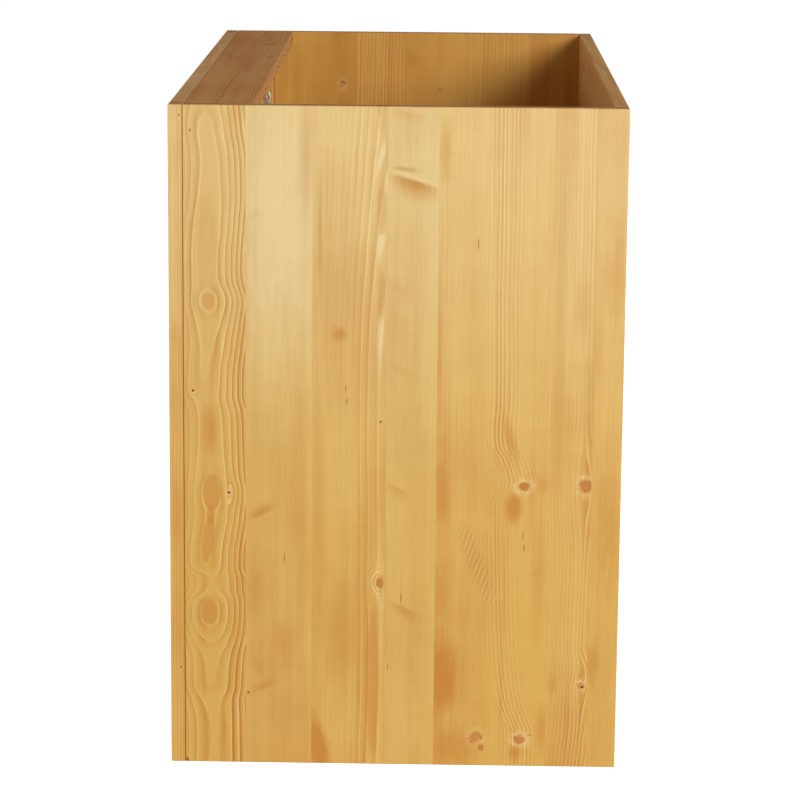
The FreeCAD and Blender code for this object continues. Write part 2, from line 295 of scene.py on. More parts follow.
# a soft-edged patch: a flame in the figure, a resin streak, a stain, and on the near side one painted
# highlight
def makePatchGroup():
    start = {"Board": zero, "Across": 0.0, "Along": 0.0, "Wide": 0.02, "Tall": 0.02,
             "Tilt": 0.0, "Lean": 0.0, "Upper": 1.0, "Soft": 0.8, "Ragged": 0.55}
    tree, given, put = newGroup("woodPatch", start, ["Mask"])
    across, along = split(given["Board"])[:2]
    side = minus(across, given["Across"])
    rise = minus(along, given["Along"])
    upright = side
    side = minus(side, times(rise, given["Lean"]))
    rise = minus(rise, times(upright, given["Tilt"]))
    above = isAbove(rise, 0.0)
    ratio = timesPlus(above, minus(given["Upper"], 1.0), 1.0)
    tall = times(given["Tall"], ratio)
    side = over(side, given["Wide"])
    rise = over(rise, tall)
    far = root(timesPlus(side, side, times(rise, rise)))
    ragged = noise(stretched(given["Board"], (130.0, 24.0, 60.0), 9.0))
    far = plus(far, swing(ragged, given["Ragged"]))
    feed(put["Mask"], fade(far, 1.0, minus(1.0, given["Soft"])))
    return tree


# rubbed arrises: any face of a board that lies askew to its three axes
def makeEdgeGroup():
    tree, given, put = newGroup("rubbedEdge", {"Normal": (0.0, 0.0, 1.0), "Place": zero}, ["Rub"])
    parts = [absolute(part) for part in split(given["Normal"])]
    squareness = larger(larger(parts[0], parts[1]), parts[2])
    askew = fade(squareness, 0.96, 0.85)
    patchy = noise(stretched(given["Place"], (35.0, 35.0, 35.0), 5.0), 3.0)
    feed(put["Rub"], times(askew, fade(patchy, 0.42, 0.62, 0.25, 1.0)))
    return tree


# handling marks in the satin lacquer or on plated metal, as a roughness
def makeSheenGroup():
    start = {"Place": zero, "Least": 0.3, "Most": 0.5}
    tree, given, put = newGroup("handledSheen", start, ["Roughness"])
    smear = noise(stretched(given["Place"], (16.0, 16.0, 16.0), 1.0), 4.0)
    speck = noise(stretched(given["Place"], (900.0, 900.0, 900.0), 2.0), 1.0)
    both = timesPlus(speck, 0.25, times(smear, 0.75))
    feed(put["Roughness"], fade(both, 0.32, 0.68, given["Least"], given["Most"]))
    return tree


ringGroup = makeRingGroup()
fibreGroup = makeFibreGroup()
pullGroup = makePullGroup()
knotGroup = makeKnotGroup()
patchGroup = makePatchGroup()
edgeGroup = makeEdgeGroup()
sheenGroup = makeSheenGroup()
print("shader groups ready")


def handled(place, least, most):  # roughness of a surface that hands have touched
    return useGroup(sheenGroup, {"Place": place, "Least": least, "Most": most})["Roughness"]


# the colours of the lacquered wood
pine = {
    "early": paint(222, 178, 93),
    "late": paint(200, 133, 52),
    "pale": paint(238, 209, 146),
    # pale colour of the painted light towards the top of the near side
    "topLightPale": paint(234, 206, 148),
    # the pale of ridges in the figure, also the colour of the painted highlights
    "ridge": paint(246, 226, 174),
    "flame": paint(203, 137, 56),
    "umber": paint(190, 138, 66),
    "knot": paint(202, 128, 58),
    "knotRim": paint(148, 78, 30),
    "resin": paint(122, 70, 28),
    # dark of seams and filled nail holes, also used for the painted shadow line beside the hinge batten
    "seam": paint(146, 82, 36),
    "endGrain": (0.54, 0.39, 0.28, 1.0),
    "roughness": (0.42, 0.56),
    "specular": 0.25,
    "bump": 0.25,
    "relief": 0.15 * mm,
    "glueLine": (0.0008, 0.0002, 0.0, 0.07),  # fades in between these distances, from and to these strengths
    "seamLine": (0.0009, 0.0004),
}


def boardSpace(tree, run):  # across, along and through the board, in metres
    coordinates = addNode(tree, "ShaderNodeTexCoord").outputs
    place = split(coordinates["Object"])
    board = joined(*[place[axisNumber[run[way]]] for way in ("across", "along", "through")])
    return board, coordinates["Object"], place, coordinates["Normal"]


def byStave(steps, values, mixer):  # the value of the stave that a point lies in
    chosen = values[0]
    for step, value in zip(steps, values[1:]):
        chosen = mixer(step, chosen, value)
    return chosen


def curveOf(value, points, low, high):  # a smooth line through given (place, value) points
    made = addNode(treeOf(value), "ShaderNodeFloatCurve")
    line = made.mapping.curves[0]
    while len(line.points) < len(points):
        line.points.new(0.5, 0.5)
    first, last = points[0][0], points[-1][0]
    for handle, (at, height) in zip(line.points, points):
        handle.location = ((at - first) / (last - first), (height - low) / (high - low))
    made.mapping.update()
    feed(made.inputs["Value"], over(minus(value, first), last - first))
    return timesPlus(made.outputs[0], high - low, low)


def staveMask(steps, number):  # one inside that stave and zero elsewhere
    if number == len(steps):
        return steps[number - 1]
    below = minus(1.0, steps[number])
    return times(steps[number - 1], below) if number else below


def knotPlace(board, knot):
    across, along = knot["at"]
    return {"Board": board, "Across": across, "Along": along, "Radius": knot["radius"],
            "Stretch": knot["stretch"]}


def pineMaterial(name, plan):
    material, tree, shader = newMaterial(name)
    board, objectPlace, place, normal = boardSpace(tree, plan)
    across, along = split(board)[:2]
    staves, knots = plan["staves"], plan.get("knots", [])
    steps = [isAbove(across, stave["edge"]) for stave in staves[1:]]
    pith = byStave(steps, [stave["pith"] for stave in staves], mixedVector)
    habit = byStave(steps, [stave["habit"] for stave in staves], mixedVector)
    marks = [(stave["lines"], stave["glow"], stave["seed"]) for stave in staves]
    mark = byStave(steps, marks, mixedVector)
    tone = byStave(steps, [(*stave["tone"], 1.0) for stave in staves], mixed)
    lines, glow, seed = split(mark, tree)

    # knots pull the rings aside, and drawn figures set where the pith runs
    sideways = 0.0
    deeper = 0.0
    uneven = 1.1
    for knot in knots:
        if knot["pull"]:
            pulled = useGroup(pullGroup, {**knotPlace(board, knot), "Pull": knot["pull"]})
            sideways = plus(sideways, pulled["Sideways"])
    for figure in plan.get("figures", []):
        inside = staveMask(steps, figure["stave"])
        drift = curveOf(along, figure["middle"], *figure["middleRange"])
        if "from" in figure:  # in front of it the lines run straight
            drift = times(drift, fade(across, *figure["from"]))
        sideways = minus(sideways, times(drift, inside))
        if "depth" in figure:
            depth = curveOf(along, figure["depth"], *figure["depthRange"])
            deeper = timesPlus(depth, inside, deeper)
            uneven = minus(uneven, inside)
        strength = curveOf(minus(across, drift), figure["strength"], 0.0, 1.0)
        if "upward" in figure:
            strength = times(strength, curveOf(along, figure["upward"], 0.0, 1.0))
        drawn = timesPlus(minus(strength, 1.0), inside, 1.0)
        lines = times(lines, drawn)
        glow = times(glow, drawn)
    rings = useGroup(ringGroup, {"Board": board, "Pith": pith, "Habit": habit, "Seed": seed, "Deeper": deeper,
                                 "Sideways": sideways, "Uneven": uneven})
    fibres = useGroup(fibreGroup, {"Board": board, "Seed": seed})

    # colour, from the sapwood up to the marks on the lacquer
    lines = times(lines, fade(fibres["Band"], 0.34, 0.6, 0.55, 1.15))
    colour, late, pale = pine["early"], pine["late"], pine["pale"]
    if "paintedTopLight" in plan:  # painted light: paler towards the top, where the light from above and its sheen on the lacquer are stronger
        paintedTopLight = plan["paintedTopLight"]
        topLight = fade(along, paintedTopLight["low"], paintedTopLight["high"], 0.0, paintedTopLight["amount"])
        colour = mixed(topLight, colour, pine["topLightPale"])
        late = mixed(times(topLight, 0.35), late, pine["topLightPale"])
        pale = mixed(topLight, pale, pine["ridge"])
    cloudy = timesPlus(fibres["Band"], 0.45, times(fibres["Cloud"], 0.55))
    colour = mixed(fade(cloudy, 0.42, 0.66, 0.0, plan.get("cloud", 0.35)), colour, late)
    colour = mixed(times(rings["Late"], lines), colour, late)
    colour = mixed(times(rings["Pale"], glow), colour, pale)
    colour = mixed(1.0, colour, tone, "MULTIPLY")
    streaky = swing(fibres["Streak"], timesPlus(lines, 0.30, 0.08))
    shade = plus(streaky, swing(fibres["Fibre"], 0.2), swing(fibres["Ripple"], 0.12), 1.0)
    warm = [raisedTo(shade, power) for power in (0.45, 1.0, 1.7)]  # darker wood is also redder
    colour = mixed(1.0, colour, joined(*warm), "MULTIPLY")
    for patch in plan.get("patches", []):
        values = {"Board": board, "Across": patch["at"][0], "Along": patch["at"][1]}
        for label in ("Wide", "Tall", "Tilt", "Lean", "Upper", "Soft", "Ragged"):
            values[label] = patch[label.lower()]
        mask = times(useGroup(patchGroup, values)["Mask"], patch["amount"])
        if patch["pitch"]:  # broken up into slanting strokes
            slanted = minus(across, times(along, patch["slope"]))
            slanted = plus(slanted, swing(fibres["Cloud"], 0.016))
            turns = sine(times(slanted, 2 * math.pi / patch["pitch"]))
            mask = times(mask, fade(turns, 0.0, 0.8))
        if patch["stave"] is not None:  # a flame stops at the glue line
            mask = times(mask, staveMask(steps, patch["stave"]))
        colour = mixed(mask, colour, pine[patch["colour"]])
    for number, knot in enumerate(knots):
        found = useGroup(knotGroup, {**knotPlace(board, knot), "Seed": number * 3.7})
        layers = [("Halo", knot["haloAmount"], knot["halo"]), ("Arcs", knot["arcs"], "pale"),
                  ("Core", knot["dark"], knot["colour"]), ("Year", knot["dark"] * 0.22, "knotRim"),
                  ("Rim", knot["rim"], "knotRim")]
        masks = [times(found[label], amount) for label, amount, tint in layers]
        if knot["stave"] is not None:  # a knot that the saw cut off at the glue line
            inside = staveMask(steps, knot["stave"])
            masks = [times(mask, inside) for mask in masks]
        for mask, (label, amount, tint) in zip(masks, layers):
            colour = mixed(mask, colour, pine[tint])
    colour = mixed(times(fibres["Pore"], plan.get("pores", 0.16)), colour, pine["resin"])

    # glue lines, end grain, bare wood, rubbed arrises, dark seams against the next boards, and a painted
    # shadow line where the hinge batten meets the left side
    for stave in staves[1:]:
        gap = absolute(minus(across, stave["edge"]))
        colour = mixed(fade(gap, *pine["glueLine"]), colour, pine["resin"])
    endMask = fade(absolute(split(normal)[axisNumber[plan["along"]]]), 0.75, 0.95)
    ends = plan.get("endGrain", pine["endGrain"])
    colour = mixed(endMask, colour, mixed(1.0, colour, ends, "MULTIPLY"))
    if "outer" in plan:  # the left side's staves are toned darker and warmer as painted shade inside the cabinet; its outside face is lifted back
        outside = fade(split(normal)[0], -0.5, -0.9)
        colour = mixed(outside, colour, (*plan["outer"], 1.0), "MULTIPLY")
    raw = plan.get("raw", 0.0)
    shader.inputs["Specular IOR Level"].default_value = pine["specular"] * (1.0 - 0.8 * raw)
    tinted = 1.0
    if plan.get("topOnly"):  # the other faces are lacquered; only the upward faces get the tint with its painted shade
        tinted = fade(split(normal)[2], 0.5, 0.9)
        raw = times(tinted, raw)
    if "tint" in plan:  # bare wood, browner than the lacquered faces; the darkening is also painted shade on the tops and the shaded inner faces
        colour = mixed(tinted, colour, (*plan["tint"], 1.0), "MULTIPLY")
    rub = useGroup(edgeGroup, {"Normal": normal, "Place": objectPlace})["Rub"]
    colour = mixed(times(rub, 0.4), colour, pine["late"])
    for axis, at, strength, *facing in plan.get("seamsAndShadowLines", []):
        gap = absolute(minus(place[axisNumber[axis]], at))
        mask = fade(gap, *pine["seamLine"], 0.0, strength)
        for side in facing:  # only on the face that looks that way
            mask = times(mask, isAbove(split(normal)[axisNumber[side]], 0.5))
        colour = mixed(mask, colour, pine["seam"])
    feed(shader.inputs["Base Color"], colour)

    # satin lacquer over slightly raised late wood
    sheen = handled(objectPlace, *pine["roughness"])
    raw = larger(endMask, raw)  # sawn ends are left bare
    feed(shader.inputs["Roughness"], timesPlus(raw, 0.35, sheen))
    relief = timesPlus(rings["Late"], lines, times(fibres["Fibre"], 0.35))
    addBump(shader, relief, pine["bump"], pine["relief"])
    return material


def dress(name, material):
    slots = nodes[name].data.materials
    slots.clear()
    slots.append(material)


# which of the cabinet's axes run along, across and through a board
grain = {
    "upright": {"along": "Z", "across": "X", "through": "Y"},
    "rail": {"along": "X", "across": "Z", "through": "Y"},
    "lying": {"along": "X", "across": "Y", "through": "Z"},
    "endPanel": {"along": "Z", "across": "Y", "through": "X"},
    "cleat": {"along": "Y", "across": "X", "through": "Z"},
}


# a stave starts at its edge; the pith is given as across, ring pitch and depth, the habit of its rings as
# how far they wander, lean and swell
def newStave(edge, pith, habit, lines, glow, seed, tone):
    return {"edge": edge, "pith": pith, "habit": habit, "lines": lines, "glow": glow, "seed": seed,
            "tone": tone}


def knotAt(at, radius, pull, dark, rim, stretch=1.2, halo="flame", haloAmount=0.4, arcs=0.0, colour="knot",
           stave=None):
    return {"at": at, "radius": radius, "pull": pull, "dark": dark, "rim": rim, "stretch": stretch,
            "halo": halo, "haloAmount": haloAmount, "arcs": arcs, "colour": colour, "stave": stave}


def patchAt(at, wide, tall, amount, stave=None, tilt=0.0, lean=0.0, upper=1.0, soft=0.9, ragged=0.55,
            colour="flame", pitch=None, slope=0.0):
    return {"at": at, "wide": wide, "tall": tall, "amount": amount, "stave": stave, "tilt": tilt,
            "lean": lean, "upper": upper, "soft": soft, "ragged": ragged, "colour": colour, "pitch": pitch,
            "slope": slope}


def flame(at, wide, tall, tilt, amount, stave, ridge=0.0, upper=0.2):  # a dark tongue, sharp on one side
    across, along = at
    made = [patchAt(at, wide, tall, amount, stave, tilt, upper=upper, soft=0.97, ragged=0.4)]
    if ridge:  # with a pale ridge above it
        top = (across, along + tall * 0.1 + 0.0035)
        made.append(patchAt(top, wide * 0.95, 0.0042, ridge, stave, tilt, ragged=0.3, colour="pale"))
    return made


def streak(at, tall, amount=0.8, colour="knotRim"):  # a thin resin pocket along the grain
    return patchAt(at, 0.0009, tall, amount, lean=0.04, soft=0.6, ragged=1.0, colour=colour)


def nailHole(at, wide, tall):
    return patchAt(at, wide, tall, 0.9, soft=0.5, colour="seam")


# the right side, as glued up from seven staves; places are across (front to back) and along (up), metres
rightSide = {
    **grain["endPanel"],
    "staves": [
        newStave(-0.254, (-0.222, -0.0044, 0.5007), (0.0016, 0.0, 0.0), 1.4, 1.0, 0.0, (1.0, 0.965, 0.89)),
        newStave(-0.176, (-0.125, 0.015, 0.3), (0.012, 0.01, 0.02), 0.12, 0.1, 3.1, (1.03, 1.06, 1.13)),
        newStave(-0.092, (0.012, -0.0046, 0.5), (0.003, 0.0, 0.0), 0.7, 0.7, 7.7, (1.02, 1.025, 1.02)),
        newStave(0.001, (0.03, 0.012, 0.32), (0.012, 0.0, 0.02), 0.06, 0.05, 12.4, (1.01, 1.04, 1.1)),
        newStave(0.0648, (0.4, -0.0049, 0.4), (0.007, 0.0, 0.004), 0.9, 0.85, 17.9, (1.0, 0.985, 0.93)),
        newStave(0.208, (0.42, -0.0046, 0.44), (0.01, 0.0, 0.006), 0.9, 0.85, 23.3, (1.0, 1.0, 1.0)),
        newStave(0.2602, (0.5, -0.0036, 0.4), (0.008, 0.0, 0.006), 0.5, 0.3, 29.0, (0.99, 0.97, 0.93)),
    ],
    # drawn figures: middle and depth say, up the board, where the lines bend to and how far in the pith runs;
    # strength is a share of the lines read across the stave, and upward one read up the board
    "figures": [{
        "stave": 0,
        "strength": [(-0.254, 0.4), (-0.246, 0.45), (-0.236, 0.6), (-0.222, 0.12), (-0.208, 0.65),
                     (-0.2, 1.0), (-0.176, 1.0)],
        "middleRange": (-0.012, 0.012),
        "middle": [(0.0, 0.005), (0.05, 0.005), (0.104, 0.001), (0.154, 0.002), (0.2, 0.0), (0.242, 0.004),
                   (0.265, -0.005), (0.3, -0.002), (0.355, 0.003), (0.38, 0.002), (0.447, 0.0015),
                   (0.475, -0.003), (0.5, -0.006), (0.546, -0.0026), (0.6, -0.0005), (0.642, -0.005),
                   (0.7, -0.002), (0.767, 0.002), (0.82, -0.003), (0.85, -0.004)],
        "depthRange": (0.032, 0.056),
        "depth": [(0.0, 0.053), (0.05, 0.0533), (0.081, 0.0522), (0.104, 0.0491), (0.133, 0.0484),
                  (0.16, 0.0447), (0.182, 0.0403), (0.2, 0.0385), (0.218, 0.0403), (0.242, 0.0447),
                  (0.264, 0.0403), (0.3, 0.0398), (0.33, 0.0397), (0.354, 0.0383), (0.38, 0.0403),
                  (0.42, 0.0417), (0.47, 0.042), (0.494, 0.0405), (0.546, 0.0394), (0.575, 0.0374),
                  (0.592, 0.0352), (0.604, 0.034), (0.616, 0.0352), (0.634, 0.0368), (0.698, 0.0366),
                  (0.767, 0.0384), (0.82, 0.039), (0.84, 0.0403), (0.85, 0.0412)],
    }, {
        "stave": 2,
        "strength": [(-0.092, 0.15), (-0.06, 0.22), (-0.046, 0.35), (-0.032, 0.85), (-0.015, 1.0),
                     (0.001, 0.9)],
        "upward": [(0.0, 0.75), (0.12, 0.7), (0.3, 0.5), (0.45, 0.5), (0.58, 0.85), (0.85, 1.0)],
        "middleRange": (-0.01, 0.01),
        "middle": [(0.0, 0.0), (0.25, 0.002), (0.5, 0.0), (0.85, 0.003)],
        "depthRange": (0.065, 0.09),
        "depth": [(0.0, 0.0705), (0.2, 0.071), (0.4, 0.0702), (0.5, 0.0706), (0.58, 0.0715), (0.65, 0.0735),
                  (0.69, 0.0745), (0.8, 0.078), (0.85, 0.0795)],
    }, {
        "stave": 4,
        "middleRange": (-0.01, 0.03), "from": (0.095, 0.14),
        "middle": [(0.0, 0.026), (0.045, 0.025), (0.06, 0.02), (0.102, 0.008), (0.167, 0.002),
                   (0.272, -0.002), (0.35, -0.003), (0.366, 0.016), (0.376, 0.02), (0.386, 0.018),
                   (0.408, 0.01), (0.44, 0.0), (0.479, 0.002), (0.607, 0.0), (0.85, 0.0)],
        "strength": [(0.0648, 0.3), (0.085, 0.25), (0.1, 0.12), (0.124, 0.15), (0.132, 0.7), (0.142, 1.0),
                     (0.152, 0.9), (0.165, 0.6), (0.18, 0.2), (0.208, 0.15)],
        "upward": [(0.0, 0.7), (0.05, 1.0), (0.12, 0.6), (0.3, 0.5), (0.345, 0.3), (0.37, 0.9), (0.42, 1.0),
                   (0.5, 0.8), (0.6, 0.6), (0.72, 0.8), (0.85, 1.0)],
    }, {
        "stave": 5,
        "middleRange": (-0.02, 0.02),
        "middle": [(0.0, -0.008), (0.06, -0.003), (0.108, 0.0), (0.13, 0.003), (0.16, -0.002), (0.3, 0.0),
                   (0.85, 0.0)],
        "strength": [(0.2, 0.4), (0.23, 0.45), (0.24, 0.7), (0.248, 1.0), (0.2602, 0.9)],
        "upward": [(0.0, 1.0), (0.13, 1.0), (0.2, 0.6), (0.33, 0.8), (0.42, 0.6), (0.55, 0.35), (0.7, 0.6),
                   (0.85, 0.5)],
    }, {
        "stave": 6,
        "middleRange": (-0.01, 0.01),
        "middle": [(0.0, 0.0), (0.085, 0.0), (0.103, 0.007), (0.118, -0.005), (0.133, 0.006),
                   (0.148, -0.005), (0.163, 0.004), (0.19, -0.002), (0.25, 0.002), (0.85, 0.0)],
        "strength": [(0.25, 1.0), (0.265, 0.9), (0.28, 0.6), (0.298, 0.4)],
        "upward": [(0.0, 0.6), (0.08, 0.8), (0.13, 1.0), (0.2, 0.8), (0.4, 0.8), (0.55, 0.5), (0.85, 0.5)],
    }],
    "knots": [
        knotAt((-0.242, 0.489), 0.002, -1.6, 1.0, 0.9, stretch=1.0, halo="pale", haloAmount=0.9,
               colour="knotRim"),
        knotAt((-0.197, 0.358), 0.0023, -2.4, 1.0, 0.9, stretch=1.0, halo="pale", haloAmount=0.9,
               colour="knotRim"),
        knotAt((-0.173, 0.094), 0.0013, 0.0, 1.0, 1.0, colour="knotRim"),
        knotAt((-0.0055, 0.2425), 0.0046, -1.2, 0.9, 0.5, stretch=1.5, halo="flame", haloAmount=0.5,
               arcs=0.85, stave=2),
        knotAt((-0.006, 0.452), 0.0014, 0.0, 1.0, 1.0, colour="knotRim", halo="pale", haloAmount=0.6),
        knotAt((0.1761, 0.3698), 0.0078, 0.0, 1.0, 0.15, stretch=0.85, halo="pale", haloAmount=0.65),
        knotAt((0.253, 0.372), 0.0096, -1.0, 0.95, 0.6, stretch=1.0, stave=5, halo="pale", haloAmount=0.4),
        knotAt((0.1758, 0.036), 0.0078, 0.0, 0.85, 0.4, stretch=0.8, halo="pale", haloAmount=0.6),
        knotAt((0.1184, 0.0385), 0.0078, -0.8, 0.75, 0.5, stretch=1.0, halo="pale", haloAmount=0.3),
        knotAt((0.1262, 0.0244), 0.003, 0.0, 0.9, 0.9, stretch=1.0, halo="flame", haloAmount=0.5),
        knotAt((0.2535, 0.109), 0.0052, -1.1, 0.6, 0.3, stretch=1.0, halo="pale", haloAmount=0.4),
        knotAt((0.2545, 0.1072), 0.0021, 0.0, 1.0, 1.0, stretch=0.8, haloAmount=0.0, colour="resin"),
    ],
    "patches": [
        *flame((0.033, 0.756), 0.042, 0.030, -0.30, 0.7, 3, 0.6),
        patchAt((0.034, 0.756), 0.036, 0.014, 0.5, 3, tilt=-0.3, upper=0.2, colour="umber"),
        patchAt((0.022, 0.7725), 0.026, 0.0045, 0.5, 3, tilt=-0.12, colour="umber"),
        *flame((0.026, 0.842), 0.034, 0.016, -0.20, 0.25, 3),
        *flame((0.014, 0.626), 0.020, 0.014, -0.40, 0.22, 3),
        *flame((0.020, 0.520), 0.030, 0.014, -0.35, 0.22, 3),
        *flame((0.015, 0.366), 0.022, 0.016, -0.55, 0.45, 3),
        *flame((0.026, 0.208), 0.028, 0.020, -0.50, 0.6, 3),
        *flame((-0.156, 0.332), 0.024, 0.006, 0.50, 0.75, 1, 0.0, 2.6),
        *flame((-0.165, 0.712), 0.014, 0.006, 0.30, 0.3, 1, 0.0, 2.0),
        *flame((-0.152, 0.102), 0.026, 0.006, 0.42, 0.5, 1, 0.0, 2.4),
        patchAt((-0.16, 0.129), 0.01, 0.016, 0.75, 1, lean=-0.4, pitch=0.0032, slope=-0.5, ragged=0.3),
        # painted highlight: a broad soft pale patch over the upper part of the second stave
        patchAt((-0.134, 0.69), 0.09, 0.22, 0.48, 1, ragged=0.5, soft=0.98, colour="ridge"),
        patchAt((-0.126, 0.165), 0.022, 0.045, 0.3, 1),
        patchAt((-0.163, 0.225), 0.018, 0.06, 0.3, 1),
        patchAt((-0.1, 0.78), 0.01, 0.11, 0.25, 1),
        patchAt((-0.084, 0.022), 0.024, 0.056, 0.9, 2, tilt=-1.6, soft=0.7),
        patchAt((-0.084, 0.33), 0.012, 0.26, 0.4, 2),
        patchAt((-0.058, 0.17), 0.024, 0.12, 0.35, 2),
        patchAt((-0.014, 0.11), 0.011, 0.12, 0.55, 2, soft=0.45),
        patchAt((-0.083, 0.7), 0.005, 0.12, 0.45, 2),
        patchAt((-0.0585, 0.563), 0.015, 0.015, 0.75, 2, soft=0.95),
        patchAt((-0.065, 0.573), 0.006, 0.004, 0.4, 2),
        patchAt((-0.006, 0.84), 0.007, 0.04, 0.3, 2, soft=0.6),
        patchAt((-0.006, 0.725), 0.008, 0.044, 0.35, 2, soft=0.6),
        patchAt((-0.006, 0.612), 0.008, 0.044, 0.35, 2, soft=0.6),
        patchAt((-0.0068, 0.79), 0.0046, 0.036, 0.5, 2, lean=0.24, upper=0.55, soft=0.6, ragged=0.3,
                colour="ridge"),
        patchAt((-0.0062, 0.684), 0.0064, 0.036, 0.5, 2, lean=0.12, upper=0.3, soft=0.65, ragged=0.3,
                colour="ridge"),
        patchAt((-0.0066, 0.572), 0.0056, 0.08, 0.42, 2, lean=0.04, upper=0.28, soft=0.7, ragged=0.3,
                colour="ridge"),
        patchAt((0.07, 0.118), 0.04, 0.08, 1.0, 4, soft=0.75),
        patchAt((0.086, 0.024), 0.055, 0.05, 0.65, 4),
        patchAt((0.07, 0.36), 0.02, 0.09, 0.6, 4, ragged=0.9),
        patchAt((0.068, 0.23), 0.018, 0.06, 0.45, 4, ragged=0.9),
        patchAt((0.066, 0.56), 0.009, 0.16, 0.45, 4),
        patchAt((0.072, 0.79), 0.012, 0.06, 0.4, 4, ragged=0.9),
        patchAt((0.158, 0.43), 0.01, 0.05, 0.5, 4, lean=-0.25),
        patchAt((0.163, 0.344), 0.016, 0.036, 0.9, 4, upper=0.75, soft=0.8),
        patchAt((0.199, 0.372), 0.012, 0.014, 0.35, 4),
        patchAt((0.195, 0.23), 0.012, 0.1, 0.25, 4),
        patchAt((0.1156, 0.2715), 0.019, 0.07, 0.6, 4, lean=-0.335),
        patchAt((0.1156, 0.2715), 0.016, 0.07, 0.42, 4, lean=-0.335, pitch=0.0066, slope=0.36,
                colour="pale", ragged=1.8),
        patchAt((0.17, 0.018), 0.013, 0.016, 0.65, 4),
        patchAt((0.203, 0.05), 0.012, 0.045, 0.5, 4),
        patchAt((0.187, 0.0415), 0.005, 0.0014, 0.8, tilt=0.2, soft=0.6, colour="knotRim"),
        patchAt((0.216, 0.11), 0.012, 0.022, 0.4, 5, ragged=0.9),
        patchAt((0.281, 0.33), 0.026, 0.13, 0.45, 6, ragged=0.9),
        patchAt((0.266, 0.135), 0.01, 0.05, 0.5, 6, ragged=1.0),
        patchAt((0.285, 0.64), 0.02, 0.08, 0.3, 6, ragged=1.0),
        patchAt((0.245, 0.6), 0.014, 0.06, 0.25, 5, ragged=1.0),
        patchAt((-0.222, 0.44), 0.018, 0.05, 0.55, 0),
        patchAt((-0.219, 0.3577), 0.013, 0.026, 0.6, 0, soft=0.2, ragged=0.15),
        patchAt((-0.2236, 0.2964), 0.0085, 0.036, 0.6, 0, lean=0.12, soft=0.25, ragged=0.15),
        patchAt((-0.2225, 0.201), 0.0128, 0.02, 0.6, 0, soft=0.22, ragged=0.15),
        patchAt((-0.2225, 0.604), 0.009, 0.0125, 0.4, 0, soft=0.25, ragged=0.15),
        patchAt((-0.2205, 0.328), 0.0065, 0.016, 0.6, 0, soft=0.4, ragged=0.15),
        patchAt((-0.204, 0.045), 0.004, 0.03, 0.6, 0),
        streak((-0.127, 0.274), 0.011), streak((-0.050, 0.494), 0.008), streak((-0.0485, 0.478), 0.006),
        streak((0.114, 0.680), 0.011), streak((0.1755, 0.306), 0.008), streak((0.177, 0.290), 0.007),
        streak((0.0215, 0.222), 0.008, 0.7), streak((0.022, 0.250), 0.030, 0.3, "late"),
        streak((0.005, 0.131), 0.007, 0.7), streak((0.0045, 0.160), 0.030, 0.3, "late"),
        nailHole((-0.2445, 0.818), 0.0014, 0.003),
        patchAt((-0.2515, 0.003), 0.003, 0.004, 0.8, soft=0.6, colour="seam"),
    ],
    "endGrain": (0.44, 0.28, 0.13, 1.0),
    "seamsAndShadowLines": [("Y", -0.254, 0.75)],
    # painted light: the upper part paler and less saturated, as if lit more strongly from above
    "paintedTopLight": {"low": 0.25, "high": 0.84, "amount": 0.64},
    "cloud": 0.45,
}

# the stile beside it, with the same painted light towards the top
rightStile = {
    **grain["endPanel"], "cloud": 0.6,
    "staves": [
        newStave(-0.272, (-0.42, -0.0042, 0.46), (0.006, 0.0, 0.006), 0.35, 0.3, 33.0, (1.06, 1.04, 1.0)),
    ],
    "patches": [
        nailHole((-0.258, 0.837), 0.0014, 0.002),
        nailHole((-0.259, 0.127), 0.0012, 0.0018),
        patchAt((-0.264, 0.34), 0.01, 0.06, 0.3, ragged=0.9),
        patchAt((-0.264, 0.56), 0.01, 0.03, 0.3, ragged=0.9),
    ],
    "seamsAndShadowLines": [("Y", -0.254, 0.75)],
    "paintedTopLight": rightSide["paintedTopLight"],
}

